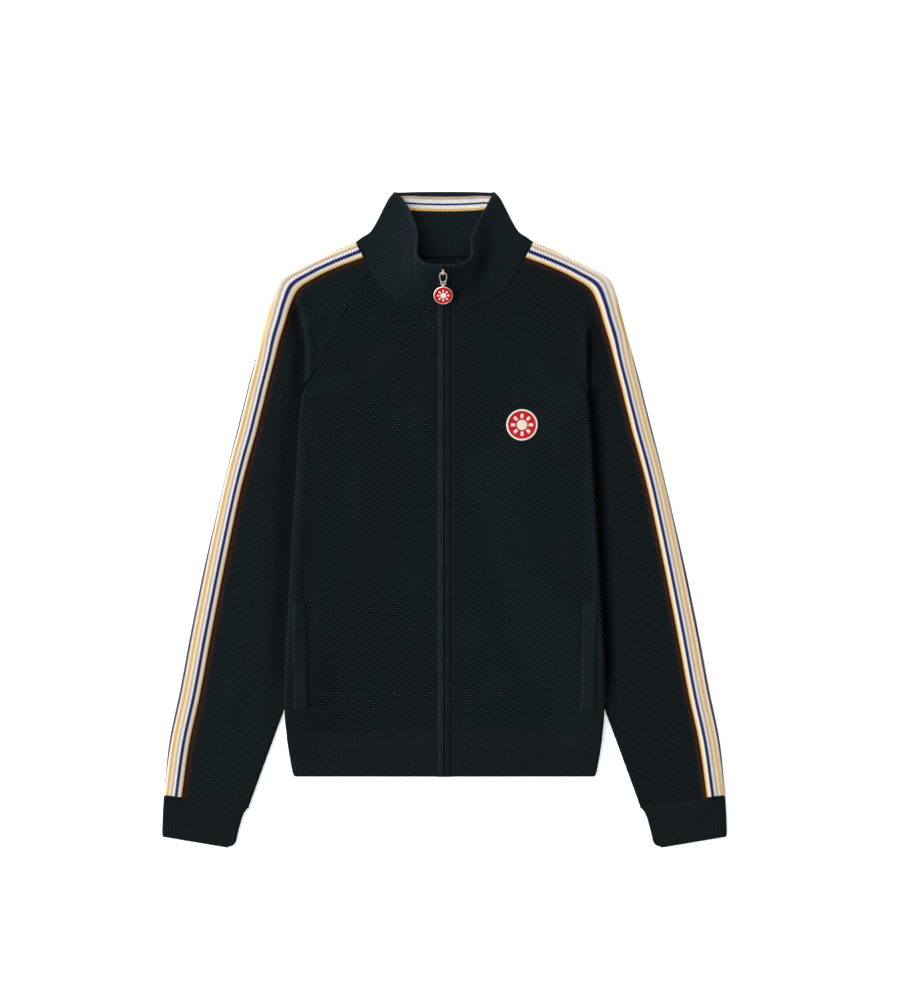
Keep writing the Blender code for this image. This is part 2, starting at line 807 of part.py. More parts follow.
def mesh_from_curve(name, curve_object, finish):
    graph = bpy.context.evaluated_depsgraph_get()
    mesh = bpy.data.meshes.new_from_object(curve_object.evaluated_get(graph))
    made = bmesh.new()
    made.from_mesh(mesh)
    bmesh.ops.remove_doubles(made, verts=made.verts, dist=0.00001)
    made.to_mesh(mesh)
    made.free()
    obj = bpy.data.objects.new(name, mesh)
    obj.matrix_world = curve_object.matrix_world
    bpy.data.objects.remove(curve_object)
    bpy.data.collections[COLLECTION].objects.link(obj)
    return link(obj, finish)


def zip_pull(metal, hinge, angle):
    """Flat keyhole loop, hinged on the slider's bail, with a bar at its tail for the charm."""
    curve = bpy.data.curves.new("zip_pull", "CURVE")
    curve.dimensions = "2D"
    curve.fill_mode = "BOTH"
    curve.extrude = PULL_PLATE / 2 * MM
    half = pull_outline()
    closed_spline(curve, half + [(-x, y) for x, y in reversed(half)])
    window = [(2.0, -0.75), (2.9, -2.4), (3.2, -4.4), (2.8, -6.8), (1.4, -8.9)]
    closed_spline(curve, [(-x, y) for x, y in window] + [(x, y) for x, y in reversed(window)])
    slot_width, slot_length = PULL_SLOT
    low = -PULL_LENGTH + PULL_BAR
    slot = [(-slot_width / 2, low), (slot_width / 2, low)]
    slot += [(slot_width / 2, low + slot_length), (-slot_width / 2, low + slot_length)]
    closed_spline(curve, slot)
    shape = bpy.data.objects.new("pull_shape", curve)
    bpy.data.collections[COLLECTION].objects.link(shape)
    obj = mesh_from_curve("zip_pull", shape, metal)
    obj.location = hinge * MM
    obj.rotation_euler = (angle, 0, 0)
    return obj


def zip_charm(enamel, bar, angle, cutters):
    """Round charm with a ring round the pull's bar."""
    drop = CHARM_RING + CHARM_RADIUS + 0.1
    obj = disc("zip_charm", CHARM_RADIUS, CHARM, enamel)
    obj.data.transform(Matrix.Translation((0, -drop * MM, 0)))
    upright = Matrix.Rotation(math.radians(90), 4, "Y")
    ring = torus("ring_shape", CHARM_RING, CHARM_WIRE, enamel, upright)
    join(obj, [ring])
    cutters.append(ring)
    obj.location = bar * MM
    obj.rotation_euler = (angle, 0, 0)
    ring.parent = obj
    return obj


def build_cloth(knit, rib, stripes, tape_black):
    sections = sleeve_sections()
    sheet("back_panel", back_rows(), KNIT, knit, even=False)
    sheet("hem_band", hem_rows(), RIB, rib)
    sheet("collar", collar_rows(), COLLAR_RIB, rib)
    for side in (1, -1):
        word = side_name(side)
        sheet(f"front_{word}", front_rows(), KNIT, knit, side, even=False)
        sheet(f"sleeve_{word}", [s["points"] for s in sections], KNIT, knit, side)
        sheet(f"sleeve_tape_{word}", [s["tape"] for s in sections], TAPE, stripes, side)
        cuff_rows = [cuff_row(*values) for values in CUFF]
        sheet(f"cuff_{word}", cuff_rows, RIB, rib, side, ring=True)
        placket = along_centre(PLACKET_IN, PLACKET_OUT, 0.0)
        sheet(f"placket_{word}", placket, KNIT, rib, side)
        zip_side = along_centre(0.2, ZIP_HALF, -2.8, 1.0)
        sheet(f"zip_tape_{word}", zip_side, ZIP_TAPE, tape_black, side)
        sheet(f"pocket_welt_{word}", welt_rows(), WELT, rib, side)


def build_hardware(gold, enamel, cutters):
    _, seat, normal, angle = zip_slider(gold, cutters)
    hinge = seat + normal * (SLIDER[2] / 2 + HINGE_UP)
    angle -= math.radians(PULL_LIFT)
    zip_pull(gold, hinge, angle)
    down = Vector((0, -math.cos(angle), -math.sin(angle)))
    bar = hinge + down * (PULL_LENGTH - PULL_BAR / 2)
    zip_charm(enamel, bar, math.radians(CHARM_LIE), cutters)


def build():
    for obj in list(bpy.data.objects):
        bpy.data.objects.remove(obj)
    parts = bpy.data.collections.new(COLLECTION)
    bpy.context.scene.collection.children.link(parts)
    knit = material("dark_pique_knit", DARK_KNIT, 0.9)
    rib = material("dark_rib_knit", DARK_RIB, 0.9)
    stripes = material("striped_tape", CREAM, 0.85)
    tape_black = material("zip_tape_black", BLACK, 0.8)
    gold = material("gold_metal", GOLD, 0.25, 1.0)
    enamel = material("red_enamel", RED, 0.3)
    patch_red = material("red_patch", RED, 0.8)
    cutters = []
    build_cloth(knit, rib, stripes, tape_black)
    patch = disc("chest_patch", PATCH_RADIUS, PATCH, patch_red, 24)
    level = front_level(PATCH_X, PATCH_Y)
    patch.location = Vector((PATCH_X, PATCH_Y, level + KNIT / 2 + LIE + PATCH / 2 + 0.6)) * MM
    build_hardware(gold, enamel, cutters)
    helpers = bpy.data.collections.new("helpers")
    bpy.context.scene.collection.children.link(helpers)
    for cutter in cutters:
        parts.objects.unlink(cutter)
        helpers.objects.link(cutter)


build()
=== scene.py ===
"""Looks of the track jacket: pique knit, ribs, striped tape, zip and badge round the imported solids.

Sizes are in millimetres in the jacket's own frame: X towards the wearer's left, Y from the hem to
the collar, Z up from the surface that it lies on. The meshes are made in metres.
"""

import math

import bmesh
import bpy
import numpy as np
from mathutils import Matrix, Vector


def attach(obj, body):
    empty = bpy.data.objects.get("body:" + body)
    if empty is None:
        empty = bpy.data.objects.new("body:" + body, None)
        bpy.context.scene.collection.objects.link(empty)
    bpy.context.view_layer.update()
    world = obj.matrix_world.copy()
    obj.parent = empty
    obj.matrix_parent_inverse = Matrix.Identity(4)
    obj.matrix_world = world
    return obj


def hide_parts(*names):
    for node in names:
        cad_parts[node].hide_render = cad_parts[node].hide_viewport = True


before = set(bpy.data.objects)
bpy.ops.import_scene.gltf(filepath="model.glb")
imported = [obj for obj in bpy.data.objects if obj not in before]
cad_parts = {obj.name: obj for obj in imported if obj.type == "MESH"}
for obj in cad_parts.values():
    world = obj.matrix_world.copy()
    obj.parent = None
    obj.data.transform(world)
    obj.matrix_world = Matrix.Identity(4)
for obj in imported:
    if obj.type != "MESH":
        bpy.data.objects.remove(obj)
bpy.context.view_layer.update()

MM = 0.001

# Cloth and the way its layers lie, as in the solids
KNIT, RIB, COLLAR_RIB, TAPE, ZIP_TAPE = 2.5, 3.0, 3.2, 1.3, 1.0
SEAM, TAPE_LIE = 0.3, 0.6
# How far one panel's edge runs into the next at a seam
SEWN, TUCKED = 0.5, 2.0
# How high the body lies on a tucked sleeve, over what width it climbs, how far from its edge
SLEEVE_STACK, RAMP, RAMP_CLEAR = 6.5, 84.0, 4.0
# Room between the layers: body at the side and in the middle, sleeve outside and under the body
SIDE_GAP, CENTRE_GAP, SLEEVE_GAP, TUCK_GAP = 1.8, 3.4, 2.3, 0.5
# How far from the middle the body's room starts to shrink, and over what width it does
GAP_START, GAP_FADE = 20.0, 130.0
# The fronts' edges at the zip (x), the underarm and the hem's seam (y)
FRONT_EDGE, UNDERARM, HEM_TOP = 8.3, 165.0, -277.5
# Where the panels' pique turns into ribs: above the hem, and on the back below the collar
RIB_FROM, NECK_RIB_FROM = -272.0, 312.0
# How far up the front's and the back's rows go, and where the body comes down off the sleeve
FRONT_TOP, BACK_TOP = 316.0, 343.5
LIFT_END, LIFT_FADE = 147.0, 38.0
# Over what height below the underarm the side fold opens to a quarter turn, and above it is gone
FOLD_OPENS, FOLD_GONE = 4.0, 13.5

# Pitches of the pique's staggered bumps across and along, and of the ribs
BUMP_ACROSS, BUMP_ALONG = 3.26, 3.43
HEM_RIB, CUFF_RIB, NECK_RIB, WELT_RIB, PLACKET_STITCH = 2.55, 2.3, 3.2, 2.6, 1.7
# How high the bumps and the ribs stand
BUMP_HEIGHT = 0.42
HEM_RELIEF, CUFF_RELIEF, NECK_RELIEF, WELT_RELIEF, PLACKET_RELIEF = 0.4, 0.35, 0.55, 0.45, 0.24
# How round a band's rolled edge is, where 1 is a half circle
ROUND_END, HEM_ROUND_END = 0.9, 0.95

# Body up to the underarm: y, side (half width), tuck (inner edge of the sleeve under it),
# wrap (how far the front turns under to the side seam)
BODY = np.array((
    (-277.5, 200.0, 216.4, 45.0), (-258.0, 202.2, 209.2, 45.0), (-237.0, 203.4, 201.6, 45.0),
    (-203.0, 203.0, 189.1, 45.0), (-162.0, 201.2, 174.1, 45.0), (-128.0, 199.2, 161.7, 45.0),
    (-95.0, 197.2, 149.6, 45.0), (-30.0, 194.0, 125.8, 45.0), (30.0, 190.0, 107.0, 45.0),
    (65.0, 187.7, 115.0, 42.0), (95.0, 186.2, 134.0, 34.0), (120.0, 184.6, 157.0, 22.0),
    (137.0, 183.4, 176.0, 12.0), (150.0, 181.4, 183.0, 4.0), (161.0, 180.0, 183.8, 1.4),
    (165.0, 178.6, 184.0, 0.6),
))

# Raglan seams from the underarm to the neck: front seam x and y, back seam x and y, outer fold of
# the sleeve x and y, width of the striped tape that shows, stretch of its stripes
RAGLAN = np.array((
    (179.4, 165.0, 176.0, 165.0, 246.3, 181.0, 24.7, 0.98),
    (170.0, 178.5, 168.5, 182.0, 238.0, 211.0, 24.7, 1.04),
    (160.5, 194.0, 158.0, 201.0, 230.5, 238.0, 24.9, 1.22),
    (149.0, 215.5, 146.5, 224.0, 224.0, 262.0, 25.6, 1.24),
    (138.0, 237.5, 135.0, 248.0, 218.5, 284.0, 26.6, 1.27),
    (126.5, 260.5, 123.0, 272.5, 208.0, 306.5, 27.6, 1.40),
    (115.0, 281.5, 111.0, 297.0, 182.0, 321.5, 25.4, 1.34),
    (104.5, 299.0, 99.5, 320.0, 149.0, 337.3, 23.8, 1.26),
    (94.0, 315.0, 88.0, 342.0, 114.0, 352.0, 22.6, 1.20),
))
# The neck's lowest place and depth in front and behind, and the front's curve
FRONT_NECK, FRONT_NECK_DEPTH, NECK_CURVE = 268.3, 46.7, 3.6
BACK_NECK, BACK_NECK_DEPTH = 330.0, 12.0

# Sleeve below the underarm: inner edge x and y, outer edge x and y, tape that shows, stretch
SLEEVE = np.array((
    (176.6, 151.0, 250.0, 166.5, 24.7, 0.98), (172.8, 137.0, 253.0, 154.0, 24.8, 0.98),
    (154.0, 116.0, 257.4, 137.0, 24.9, 0.98), (129.0, 88.0, 263.0, 115.0, 25.0, 0.98),
    (111.5, 56.0, 270.8, 85.0, 24.4, 0.98), (107.5, 20.0, 279.6, 49.0, 23.8, 0.97),
    (128.0, -36.0, 293.0, -8.0, 24.5, 0.97), (152.5, -103.0, 309.0, -77.7, 26.2, 0.98),
    (177.0, -170.0, 323.5, -147.5, 27.2, 1.00), (201.6, -237.0, 336.7, -217.6, 27.4, 1.00),
    (224.0, -298.0, 349.1, -280.6, 26.2, 1.00), (248.0, -363.8, 356.5, -349.6, 23.8, 1.00),
))
# Half the room in the sleeve's outer fold, how far the tape goes on behind it, and where it ends
FOLD_ROOM, TAPE_BACK = 0.45, 8.0
TAPE_END = (KNIT + FOLD_ROOM + TAPE_LIE + TAPE) * math.pi / 2 + TAPE_BACK
# How far from its inner edge the sleeve comes down off the body's level
RISE_REACH = 28.0
# Where the sleeve rises off the tape under it, before its fold's turn, and over what width
TAPE_RISE, TAPE_RISEN = 24.0, 14.0
# Over what width before that turn the sleeve's two layers open to the fold
FOLD_REACH = 16.0
# Over what length the underarm closes the sleeve's section, and a seam's groove fades out
CLOSING, SEWN_FADE = 7.0, 12.0

# Cuff: inner edge x and y, outer edge x and y
CUFF = np.array((
    (248.4, -364.8, 356.5, -350.6), (254.4, -372.4, 356.8, -358.6), (258.8, -385.4, 357.7, -372.4),
    (262.4, -399.0, 358.1, -386.0), (263.4, -403.8, 358.3, -390.6), (264.4, -408.2, 358.4, -394.5),
    (266.3, -411.6, 358.4, -397.5), (269.4, -414.0, 358.3, -399.6), (274.2, -415.3, 358.0, -401.3),
))

# Its room inside, its height off the floor, and the width from which its ribs are counted
CUFF_GAP, CUFF_LIE, CUFF_WIDE = 1.4, 0.1, 110.0

# Hem band: y, half width
HEM = np.array(((-326.4, 192.0), (-302.0, 196.6), (-278.1, 200.0)))

# Collar's top edge from the zip to the side fold: turn (0 to 1), x, y, z
COLLAR_TOP = np.array((
    (0.00, 8.3, 321.5, 34.0), (0.08, 18.0, 321.8, 33.5), (0.14, 27.0, 325.0, 32.0),
    (0.19, 33.2, 331.0, 29.5), (0.24, 35.3, 339.0, 26.5), (0.29, 34.2, 350.0, 23.0),
    (0.36, 34.5, 364.0, 19.0), (0.44, 40.5, 383.0, 14.5), (0.53, 48.5, 398.0, 10.5),
    (0.60, 55.5, 408.0, 7.8), (0.64, 58.9, 411.9, 6.8),
))
# Collar's side fold from the neck to the top corner: height (0 to 1), x, y
COLLAR_SIDE = np.array((
    (0.0, 113.6, 352.4), (0.12, 105.4, 358.4), (0.27, 96.3, 364.0), (0.5, 87.0, 377.6),
    (0.76, 76.8, 397.0), (0.92, 69.8, 408.8), (1.0, 64.6, 413.8),
))
# Turns round the collar (0 at the zip, 1 at the centre back) where its side fold starts and ends
FOLD_START, FOLD_END = 0.64, 0.72
# and where the neck seam meets the raglan seams
FRONT_NECK_TURN, BACK_NECK_TURN = 0.46, 0.80
NECK_FRONT_END, NECK_BACK_END = np.array((110.2, 346.6)), np.array((110.2, 348.4))
NECK_BACK_SEAM = np.array((88.0, 342.6))
NECK_BACK_Y, NECK_FRONT_LEVEL = 330.6, 6.2
FOLD_OUTWARD, COLLAR_FOLD = np.array((0.78, 0.62)), 2.4
COLLAR_BACK_TOP, COLLAR_RISE = 414.5, 1.5
# What is left of the collar's cut, which narrows from its seam to its top edge
COLLAR_NARROWS = 0.82
# How much further out the left flap's edge leans near its top
FLAP_LEAN = 7.0

# Cuts of the bands, width and length: cuff, zip tape, welt, and the hem's depth
CUFF_CUT, ZIP_CUT, WELT_CUT, HEM_DEPTH = (224.0, 52.0), (12.8, 654.0), (17.4, 137.2), 49.0
# Levels of the zip's tape and teeth from the front's face, and the teeth's pitch, start and stop
ZIP_LEVEL, TEETH_LEVEL = -3.1, -2.3
TEETH_PITCH, TEETH_START, TEETH_STOP = 2.5, 3.0, 9.0
# Pocket welt: bottom and top y, inner and outer x at each, height and how soon its ends reach it
WELT_ROWS = np.array(((-242.0, 173.0, 190.4), (-104.8, 176.0, 193.4)))
WELT_EDGE, WELT_HEIGHT, WELT_ENDS = 0.15, 1.75, 1.6

# The chest patch's place and size
PATCH_X, PATCH_Y, PATCH_RADIUS = 98.4, 120.0, 20.0

# Zip hardware: places of the slider, the pull's hinge and the charm's bar, and their tilts
SLIDER_AT, SLIDER_TILT = Vector((-1.5, 312.795, 31.548)), math.radians(35.31)
HINGE_AT, PULL_TILT = Vector((-1.5, 311.4362, 33.4657)), math.radians(31.31)
BAR_AT, CHARM_TILT = Vector((-1.5, 296.9555, 24.6561)), math.radians(27.0)
# How far down from its bar the charm's middle hangs, and its enamel's radius
CHARM_DROP, ENAMEL_RADIUS = -14.7, 11.1


def ease(value):
    """Smooth step from 0 to 1."""
    value = np.clip(value, 0.0, 1.0)
    return value * value * (3.0 - 2.0 * value)


def bell(value, width):
    return np.exp(-((value / width) ** 2))


def smooth(keys, values, at):
    """A smooth curve through the keys' values, level past the ends."""
    slopes = np.gradient(values, keys, axis=0)
    at = np.clip(at, keys[0], keys[-1])
    k = np.clip(np.searchsorted(keys, at, side="right") - 1, 0, len(keys) - 2)
    span = keys[k + 1] - keys[k]
    s = (at - keys[k]) / span
    if values.ndim > 1:
        s, span = np.expand_dims(s, -1), np.expand_dims(span, -1)
    ends = (2 * s**3 - 3 * s**2 + 1) * values[k] + (3 * s**2 - 2 * s**3) * values[k + 1]
    tilts = (s**3 - 2 * s**2 + s) * slopes[k] + (s**3 - s**2) * slopes[k + 1]
    return ends + span * tilts


def body_at(y, column):
    return np.interp(y, BODY[:, 0], BODY[:, column])


def lift(x, y):
    """Height of the body's underside where it lies on the tucked sleeve."""
    climb = ease((np.abs(x) - (body_at(y, 2) - RAMP_CLEAR - RAMP)) / RAMP)
    return SLEEVE_STACK * climb * (1.0 - ease((y - LIFT_END) / LIFT_FADE))


def body_gap(x):
    """Room between the back and the front."""
    return SIDE_GAP + (CENTRE_GAP - SIDE_GAP) * (1.0 - ease((np.abs(x) - GAP_START) / GAP_FADE))


def back_level(x, y):
    return lift(x, y) + KNIT / 2


def front_level(x, y):
    return lift(x, y) + KNIT * 1.5 + body_gap(x)


def lengths(line):
    """Distance along a line of points, from its first."""
    steps = np.linalg.norm(np.diff(line, axis=0), axis=1)
    return np.concatenate(([0.0], np.cumsum(steps)))


def strip(first, first_keys, second, second_keys, faces):
    """Triangles between two rows of vertices, matched by their keys."""
    i = j = 0
    while i < len(first) - 1 or j < len(second) - 1:
        ahead = j == len(second) - 1
        if not ahead and i < len(first) - 1:
            ahead = first_keys[i + 1] <= second_keys[j + 1] + 1e-9
        if ahead:
            faces.append((first[i], first[i + 1], second[j]))
            i += 1
        else:
            faces.append((first[i], second[j + 1], second[j]))
            j += 1


def rim(fine, coarse, marks, forward, faces):
    """Triangles that join a fine edge to the coarse one whose points stand at these marks of it."""
    for k in range(len(marks) - 1):
        a, b = coarse[k], coarse[k + 1]
        made = [(fine[n], fine[n + 1], a) for n in range(marks[k], marks[k + 1])]
        made.append((fine[marks[k + 1]], b, a))
        faces.extend(made if forward else [face[::-1] for face in made])


def vertex_normals(points, faces):
    corners = points[faces]
    across = np.cross(corners[:, 1] - corners[:, 0], corners[:, 2] - corners[:, 0])
    total = np.zeros_like(points)
    for axis in range(3):
        for corner in range(3):
            total[:, axis] += np.bincount(faces[:, corner], across[:, axis], len(points))
    size = np.linalg.norm(total, axis=1, keepdims=True)
    return total / np.maximum(size, 1e-12)


def link(name, data):
    """A new object of this data, in the scene."""
    obj = bpy.data.objects.new(name, data)
    bpy.context.scene.collection.objects.link(obj)
    return obj


def vectors(items, key):
    """A property of a mesh's vertices or stored values, as rows of three."""
    values = np.empty(len(items) * 3, np.float32)
    items.foreach_get(key, values)
    return values.reshape(-1, 3).astype(float)


def store(mesh, name, values):
    """Keeps a number or a vector for each vertex, for the materials."""
    kind, key = ("FLOAT", "value") if values.ndim == 1 else ("FLOAT_VECTOR", "vector")
    stored = mesh.attributes.new(name, kind, "POINT")
    stored.data.foreach_set(key, values.astype(np.float32).ravel())


def make_object(name, points, faces, cuts, side=1, welded=False, flip=False):
    """A mesh object from arrays. side -1 mirrors it, and welded adds its mirror image."""
    if welded:
        on_plane = np.abs(points[:, 0]) < 1e-6
        others = np.flatnonzero(~on_plane)
        twin = np.arange(len(points))
        twin[others] = len(points) + np.arange(len(others))
        faces = faces[~on_plane[faces].all(axis=1)]
        points = np.concatenate((points, points[others] * (-1, 1, 1)))
        cuts = np.concatenate((cuts, cuts[others] * (-1, 1, 1)))
        faces = np.concatenate((faces, twin[faces][:, ::-1]))
    if side < 0:
        points = points * (-1, 1, 1)
    if (side < 0) != flip:
        faces = faces[:, ::-1]
    mesh = bpy.data.meshes.new(name)
    mesh.from_pydata((points * MM).tolist(), [], faces.tolist())
    mesh.polygons.foreach_set("use_smooth", np.ones(len(mesh.polygons), bool))
    store(mesh, "cut", cuts)
    mesh.update()
    return link(name, mesh)


def cloth(name, lines, step, thickness, relief, skip=(6, 8), **options):
    """A closed sheet with a fine outer face and a coarser inner one.

    Each line is (v, u, points, extra): a row of the cut at v, sampled at whole steps of u. relief
    gives the outer face's texture and the sheet's creases from its points, cut and normals.
    """
    welded = options.get("welded", False)
    keys, points, cuts, ids = [], [], [], []
    for v, u, line, extra in lines:
        first, last = math.ceil(u[0] / step + 0.35), math.floor(u[-1] / step - 0.35)
        at = np.concatenate(([u[0]], step * np.arange(first, last + 1), [u[-1]]))
        start = ids[-1][-1] + 1 if ids else 0
        ids.append(np.arange(start, start + len(at)))
        keys.append(at)
        points.append(np.column_stack([np.interp(at, u, line[:, k]) for k in range(3)]))
        cuts.append(np.column_stack((at, np.full(len(at), v), np.interp(at, u, extra))))
    points, cuts = np.concatenate(points), np.concatenate(cuts)
    faces = []
    for k in range(len(ids) - 1):
        strip(ids[k], keys[k], ids[k + 1], keys[k + 1], faces)
    outer = np.array(faces)
    flip = options.get("flip", False)
    normals = vertex_normals(points, outer[:, ::-1] if flip else outer)
    on_plane = np.abs(points[:, 0]) < 1e-6
    if welded:
        normals[on_plane, 0] = 0.0
    texture, crease = relief(points, cuts, normals)
    starts = np.array([row[0] for row in ids])
    chosen = set(range(0, len(ids), skip[0])) | {len(ids) - 1}
    if welded:
        change = np.flatnonzero(np.diff(on_plane[starts].astype(int)))
        chosen |= set(change.tolist()) | set((change + 1).tolist())
    chosen = sorted(chosen)
    inner_ids, picks, count = [], [], len(points)
    for row in chosen:
        pick = np.array(sorted(set(range(0, len(ids[row]), skip[1])) | {len(ids[row]) - 1}))
        picks.append(pick)
        inner_ids.append(np.arange(count, count + len(pick)))
        count += len(pick)
    source = np.concatenate([ids[row][pick] for row, pick in zip(chosen, picks)])
    inner = points[source] + normals[source] * (crease[source] - thickness)[:, None]
    faces = []
    inner_keys = [keys[row][pick] for row, pick in zip(chosen, picks)]
    for k in range(len(chosen) - 1):
        strip(inner_ids[k], inner_keys[k], inner_ids[k + 1], inner_keys[k + 1], faces)
    faces = [face[::-1] for face in faces]
    rim(ids[0], inner_ids[0], picks[0], False, faces)
    rim(ids[-1], inner_ids[-1], picks[-1], True, faces)
    ends = np.array([row[-1] for row in ids])
    for chain, column, forward in ((starts, 0, True), (ends, -1, False)):
        coarse = [row[column] for row in inner_ids]
        for k in range(len(chosen) - 1):
            part = chain[chosen[k] : chosen[k + 1] + 1]
            if welded and on_plane[part].all():
                continue
            rim(part, coarse[k : k + 2], (0, len(part) - 1), forward, faces)
    moved = points + normals * (texture + crease)[:, None]
    points = np.concatenate((moved, inner))
    cuts = np.concatenate((cuts, cuts[source]))
    faces = np.concatenate((outer, np.array(faces)))
    made = make_object(name, points, faces, cuts, **options)
    return made, area_of(lines) * (2 if welded else 1)


def area_of(lines):
    """Flat area of a cut, in square millimetres."""
    v = np.array([line[0] for line in lines])
    width = np.array([line[1][-1] - line[1][0] for line in lines])
    return float(np.sum(np.abs(np.diff(v)) * (width[1:] + width[:-1]) / 2))


def tube(name, rings, cuts, relief=None, closed=False, welded=False, side=1):
    """A closed skin through rings of points. Each ring's halves run side by side, to close ends."""
    count, around = rings.shape[:2]
    ids = np.arange(count * around).reshape(count, around)
    after = np.roll(ids, -1, axis=1)
    faces = []
    for low in range(count if closed else count - 1):
        high = (low + 1) % count
        faces.append(np.column_stack((ids[low], after[low], after[high])))
        faces.append(np.column_stack((ids[low], after[high], ids[high])))
    points, cuts = rings.reshape(-1, 3), cuts.reshape(-1, 3)
    skin = np.concatenate(faces)
    caps = []
    if not closed:
        half = around // 2
        for ring, forward in ((ids[0], False), (ids[-1], True)):
            one, two = ring[: half + 1], ring[half:][::-1]
            made = []
            strip(one, np.linspace(0, 1, len(one)), two, np.linspace(0, 1, len(two)), made)
            made = [face for face in made if len(set(face)) == 3]
            caps += made if forward else [face[::-1] for face in made]
    whole = np.concatenate((skin, np.array(caps, int).reshape(-1, 3)))
    corners = points[whole]
    if np.einsum("ij,ij->", corners[:, 0], np.cross(corners[:, 1], corners[:, 2])) < 0:
        skin, whole = skin[:, ::-1], whole[:, ::-1]
    if relief is not None:
        normals = vertex_normals(points, skin)
        if welded:
            normals[np.abs(points[:, 0]) < 1e-6, 0] = 0.0
        points = points + normals * relief(points, cuts, normals)[:, None]
    return make_object(name, points, whole, cuts, side=side, welded=welded)


def along_path(points, path, width, height):
    """A soft ridge, or a trough where height is negative, along a path seen from above."""
    path = np.array(path, float)
    best = np.full(len(points), 1e9)
    place = np.zeros(len(points))
    for k, (a, b) in enumerate(zip(path, path[1:])):
        run = b - a
        share = np.clip(((points[:, :2] - a) @ run) / (run @ run), 0.0, 1.0)
        away = np.linalg.norm(points[:, :2] - a - share[:, None] * run, axis=1)
        near = away < best
        best[near], place[near] = away[near], (k + share[near]) / (len(path) - 1)
    fade = ease(place * 3.5) * ease((1 - place) * 3.5)
    return height * bell(best, width) * fade


def creases(points, normals, paths, under=False):
    """The paths' ridges and troughs on the faces that look up, or down where under is set."""
    facing = ease((-normals[:, 2] if under else normals[:, 2]) * 2.0 - 0.6)
    return facing * sum((along_path(points, *path) for path in paths), np.zeros(len(points)))


def pique(u, v):
    """Staggered bumps that rise to the nominal face from the gaps between them."""
    wave = np.cos(2 * math.pi * u / BUMP_ACROSS) * np.cos(math.pi * v / BUMP_ALONG)
    return BUMP_HEIGHT * (wave - 1) / 2


def ribbing(u, pitch, depth):
    return depth * (np.cos(2 * math.pi * u / pitch) - 1) / 2


def front_end(y):
    """Side fold at one height: x of its outermost place, wrap and turn in degrees."""
    if y <= UNDERARM:
        degrees = np.interp(y, (UNDERARM - FOLD_OPENS, UNDERARM), (180.0, 90.0))
        return smooth(BODY[:, 0], BODY[:, 1], y), body_at(y, 3), degrees
    seam_x = smooth(RAGLAN[:, 1], RAGLAN[:, 0], y)
    return seam_x + SEWN, 0.0, 90.0 * max(1 - (y - UNDERARM) / FOLD_GONE, 0.0)


def front_fold(y):
    """The fold's centre x and height, outer radius, turn in radians and wrap."""
    side, wrap, degrees = front_end(y)
    turn = side
    for _ in range(3):
        radius = (front_level(turn, y) - back_level(turn, y)) / 2 + KNIT / 2
        turn = side - radius * math.sin(math.radians(min(degrees, 90.0)))
    centre_z = (front_level(turn, y) + back_level(turn, y)) / 2
    return turn, centre_z, radius, math.radians(degrees), wrap


def front_line(y):
    """Outer face of the front at one height, from the zip to its far seam."""
    start = FRONT_EDGE
    over = (y - FRONT_NECK - TUCKED) / FRONT_NECK_DEPTH
    if over > 0:
        start = RAGLAN[-1, 0] * over ** (1 / NECK_CURVE)
    turn, centre_z, radius, angle, wrap = front_fold(y)
    start = max(min(start, turn - 0.5), FRONT_EDGE)
    x = np.linspace(start, turn, 110)
    parts = [np.column_stack((x, np.full_like(x, y), front_level(x, y) + KNIT / 2))]
    if angle > 0.01:
        a = np.linspace(0.0, angle, 16)[1:]
        arc = (turn + radius * np.sin(a), np.full_like(a, y), centre_z + radius * np.cos(a))
        parts.append(np.column_stack(arc))
    if wrap > 0.1 and angle > 3.1:
        x = np.linspace(turn, turn - wrap, 20)[1:]
        parts.append(np.column_stack((x, np.full_like(x, y), lift(x, y))))
    line = np.concatenate(parts)
    u = start + lengths(line)
    return y, u, line, u[-1] - u


def back_line(y):
    """Underside of the back at one height, from its centre or the neck to the seam."""
    start = 0.0
    if y > BACK_NECK + TUCKED:
        start = RAGLAN[-1, 2] * math.sqrt((y - BACK_NECK - TUCKED) / BACK_NECK_DEPTH)
    if y <= 150.0:
        turn, _, _, _, wrap = front_fold(y)
        seam = turn - wrap
    elif y <= UNDERARM:
        seam = RAGLAN[0, 2] - 2.0 * (UNDERARM - y) / 15.0
    else:
        seam = smooth(RAGLAN[:, 3], RAGLAN[:, 2], y)
    seam = seam + SEWN - SEAM
    start = min(start, seam - 0.5)
    x = np.linspace(start, seam, 90)
    line = np.column_stack((x, np.full_like(x, y), lift(x, y)))
    u = start + lengths(line)
    return y, u, line, u[-1] - u


def panel_lines(line_at, top):
    """A body panel's lines, from the hem up to this height."""
    step = BUMP_ALONG / 2
    first, last = math.ceil(HEM_TOP / step + 0.3), math.floor(top / step)
    return [line_at(y) for y in [HEM_TOP - TUCKED, *(step * np.arange(first, last + 1))]]


# The sleeve's sections from the neck to the cuff: inner edge, back seam, outer edge, tape shown,
# stretch of its stripes
SECTION_KEYS = np.concatenate((RAGLAN[::-1], np.column_stack((SLEEVE[:, 0:2], SLEEVE))))
SECTION_AT = lengths((SECTION_KEYS[:, 0:2] + SECTION_KEYS[:, 4:6]) / 2)
SLEEVE_LENGTH, OPEN_END = SECTION_AT[-1], SECTION_AT[len(RAGLAN) - 1]


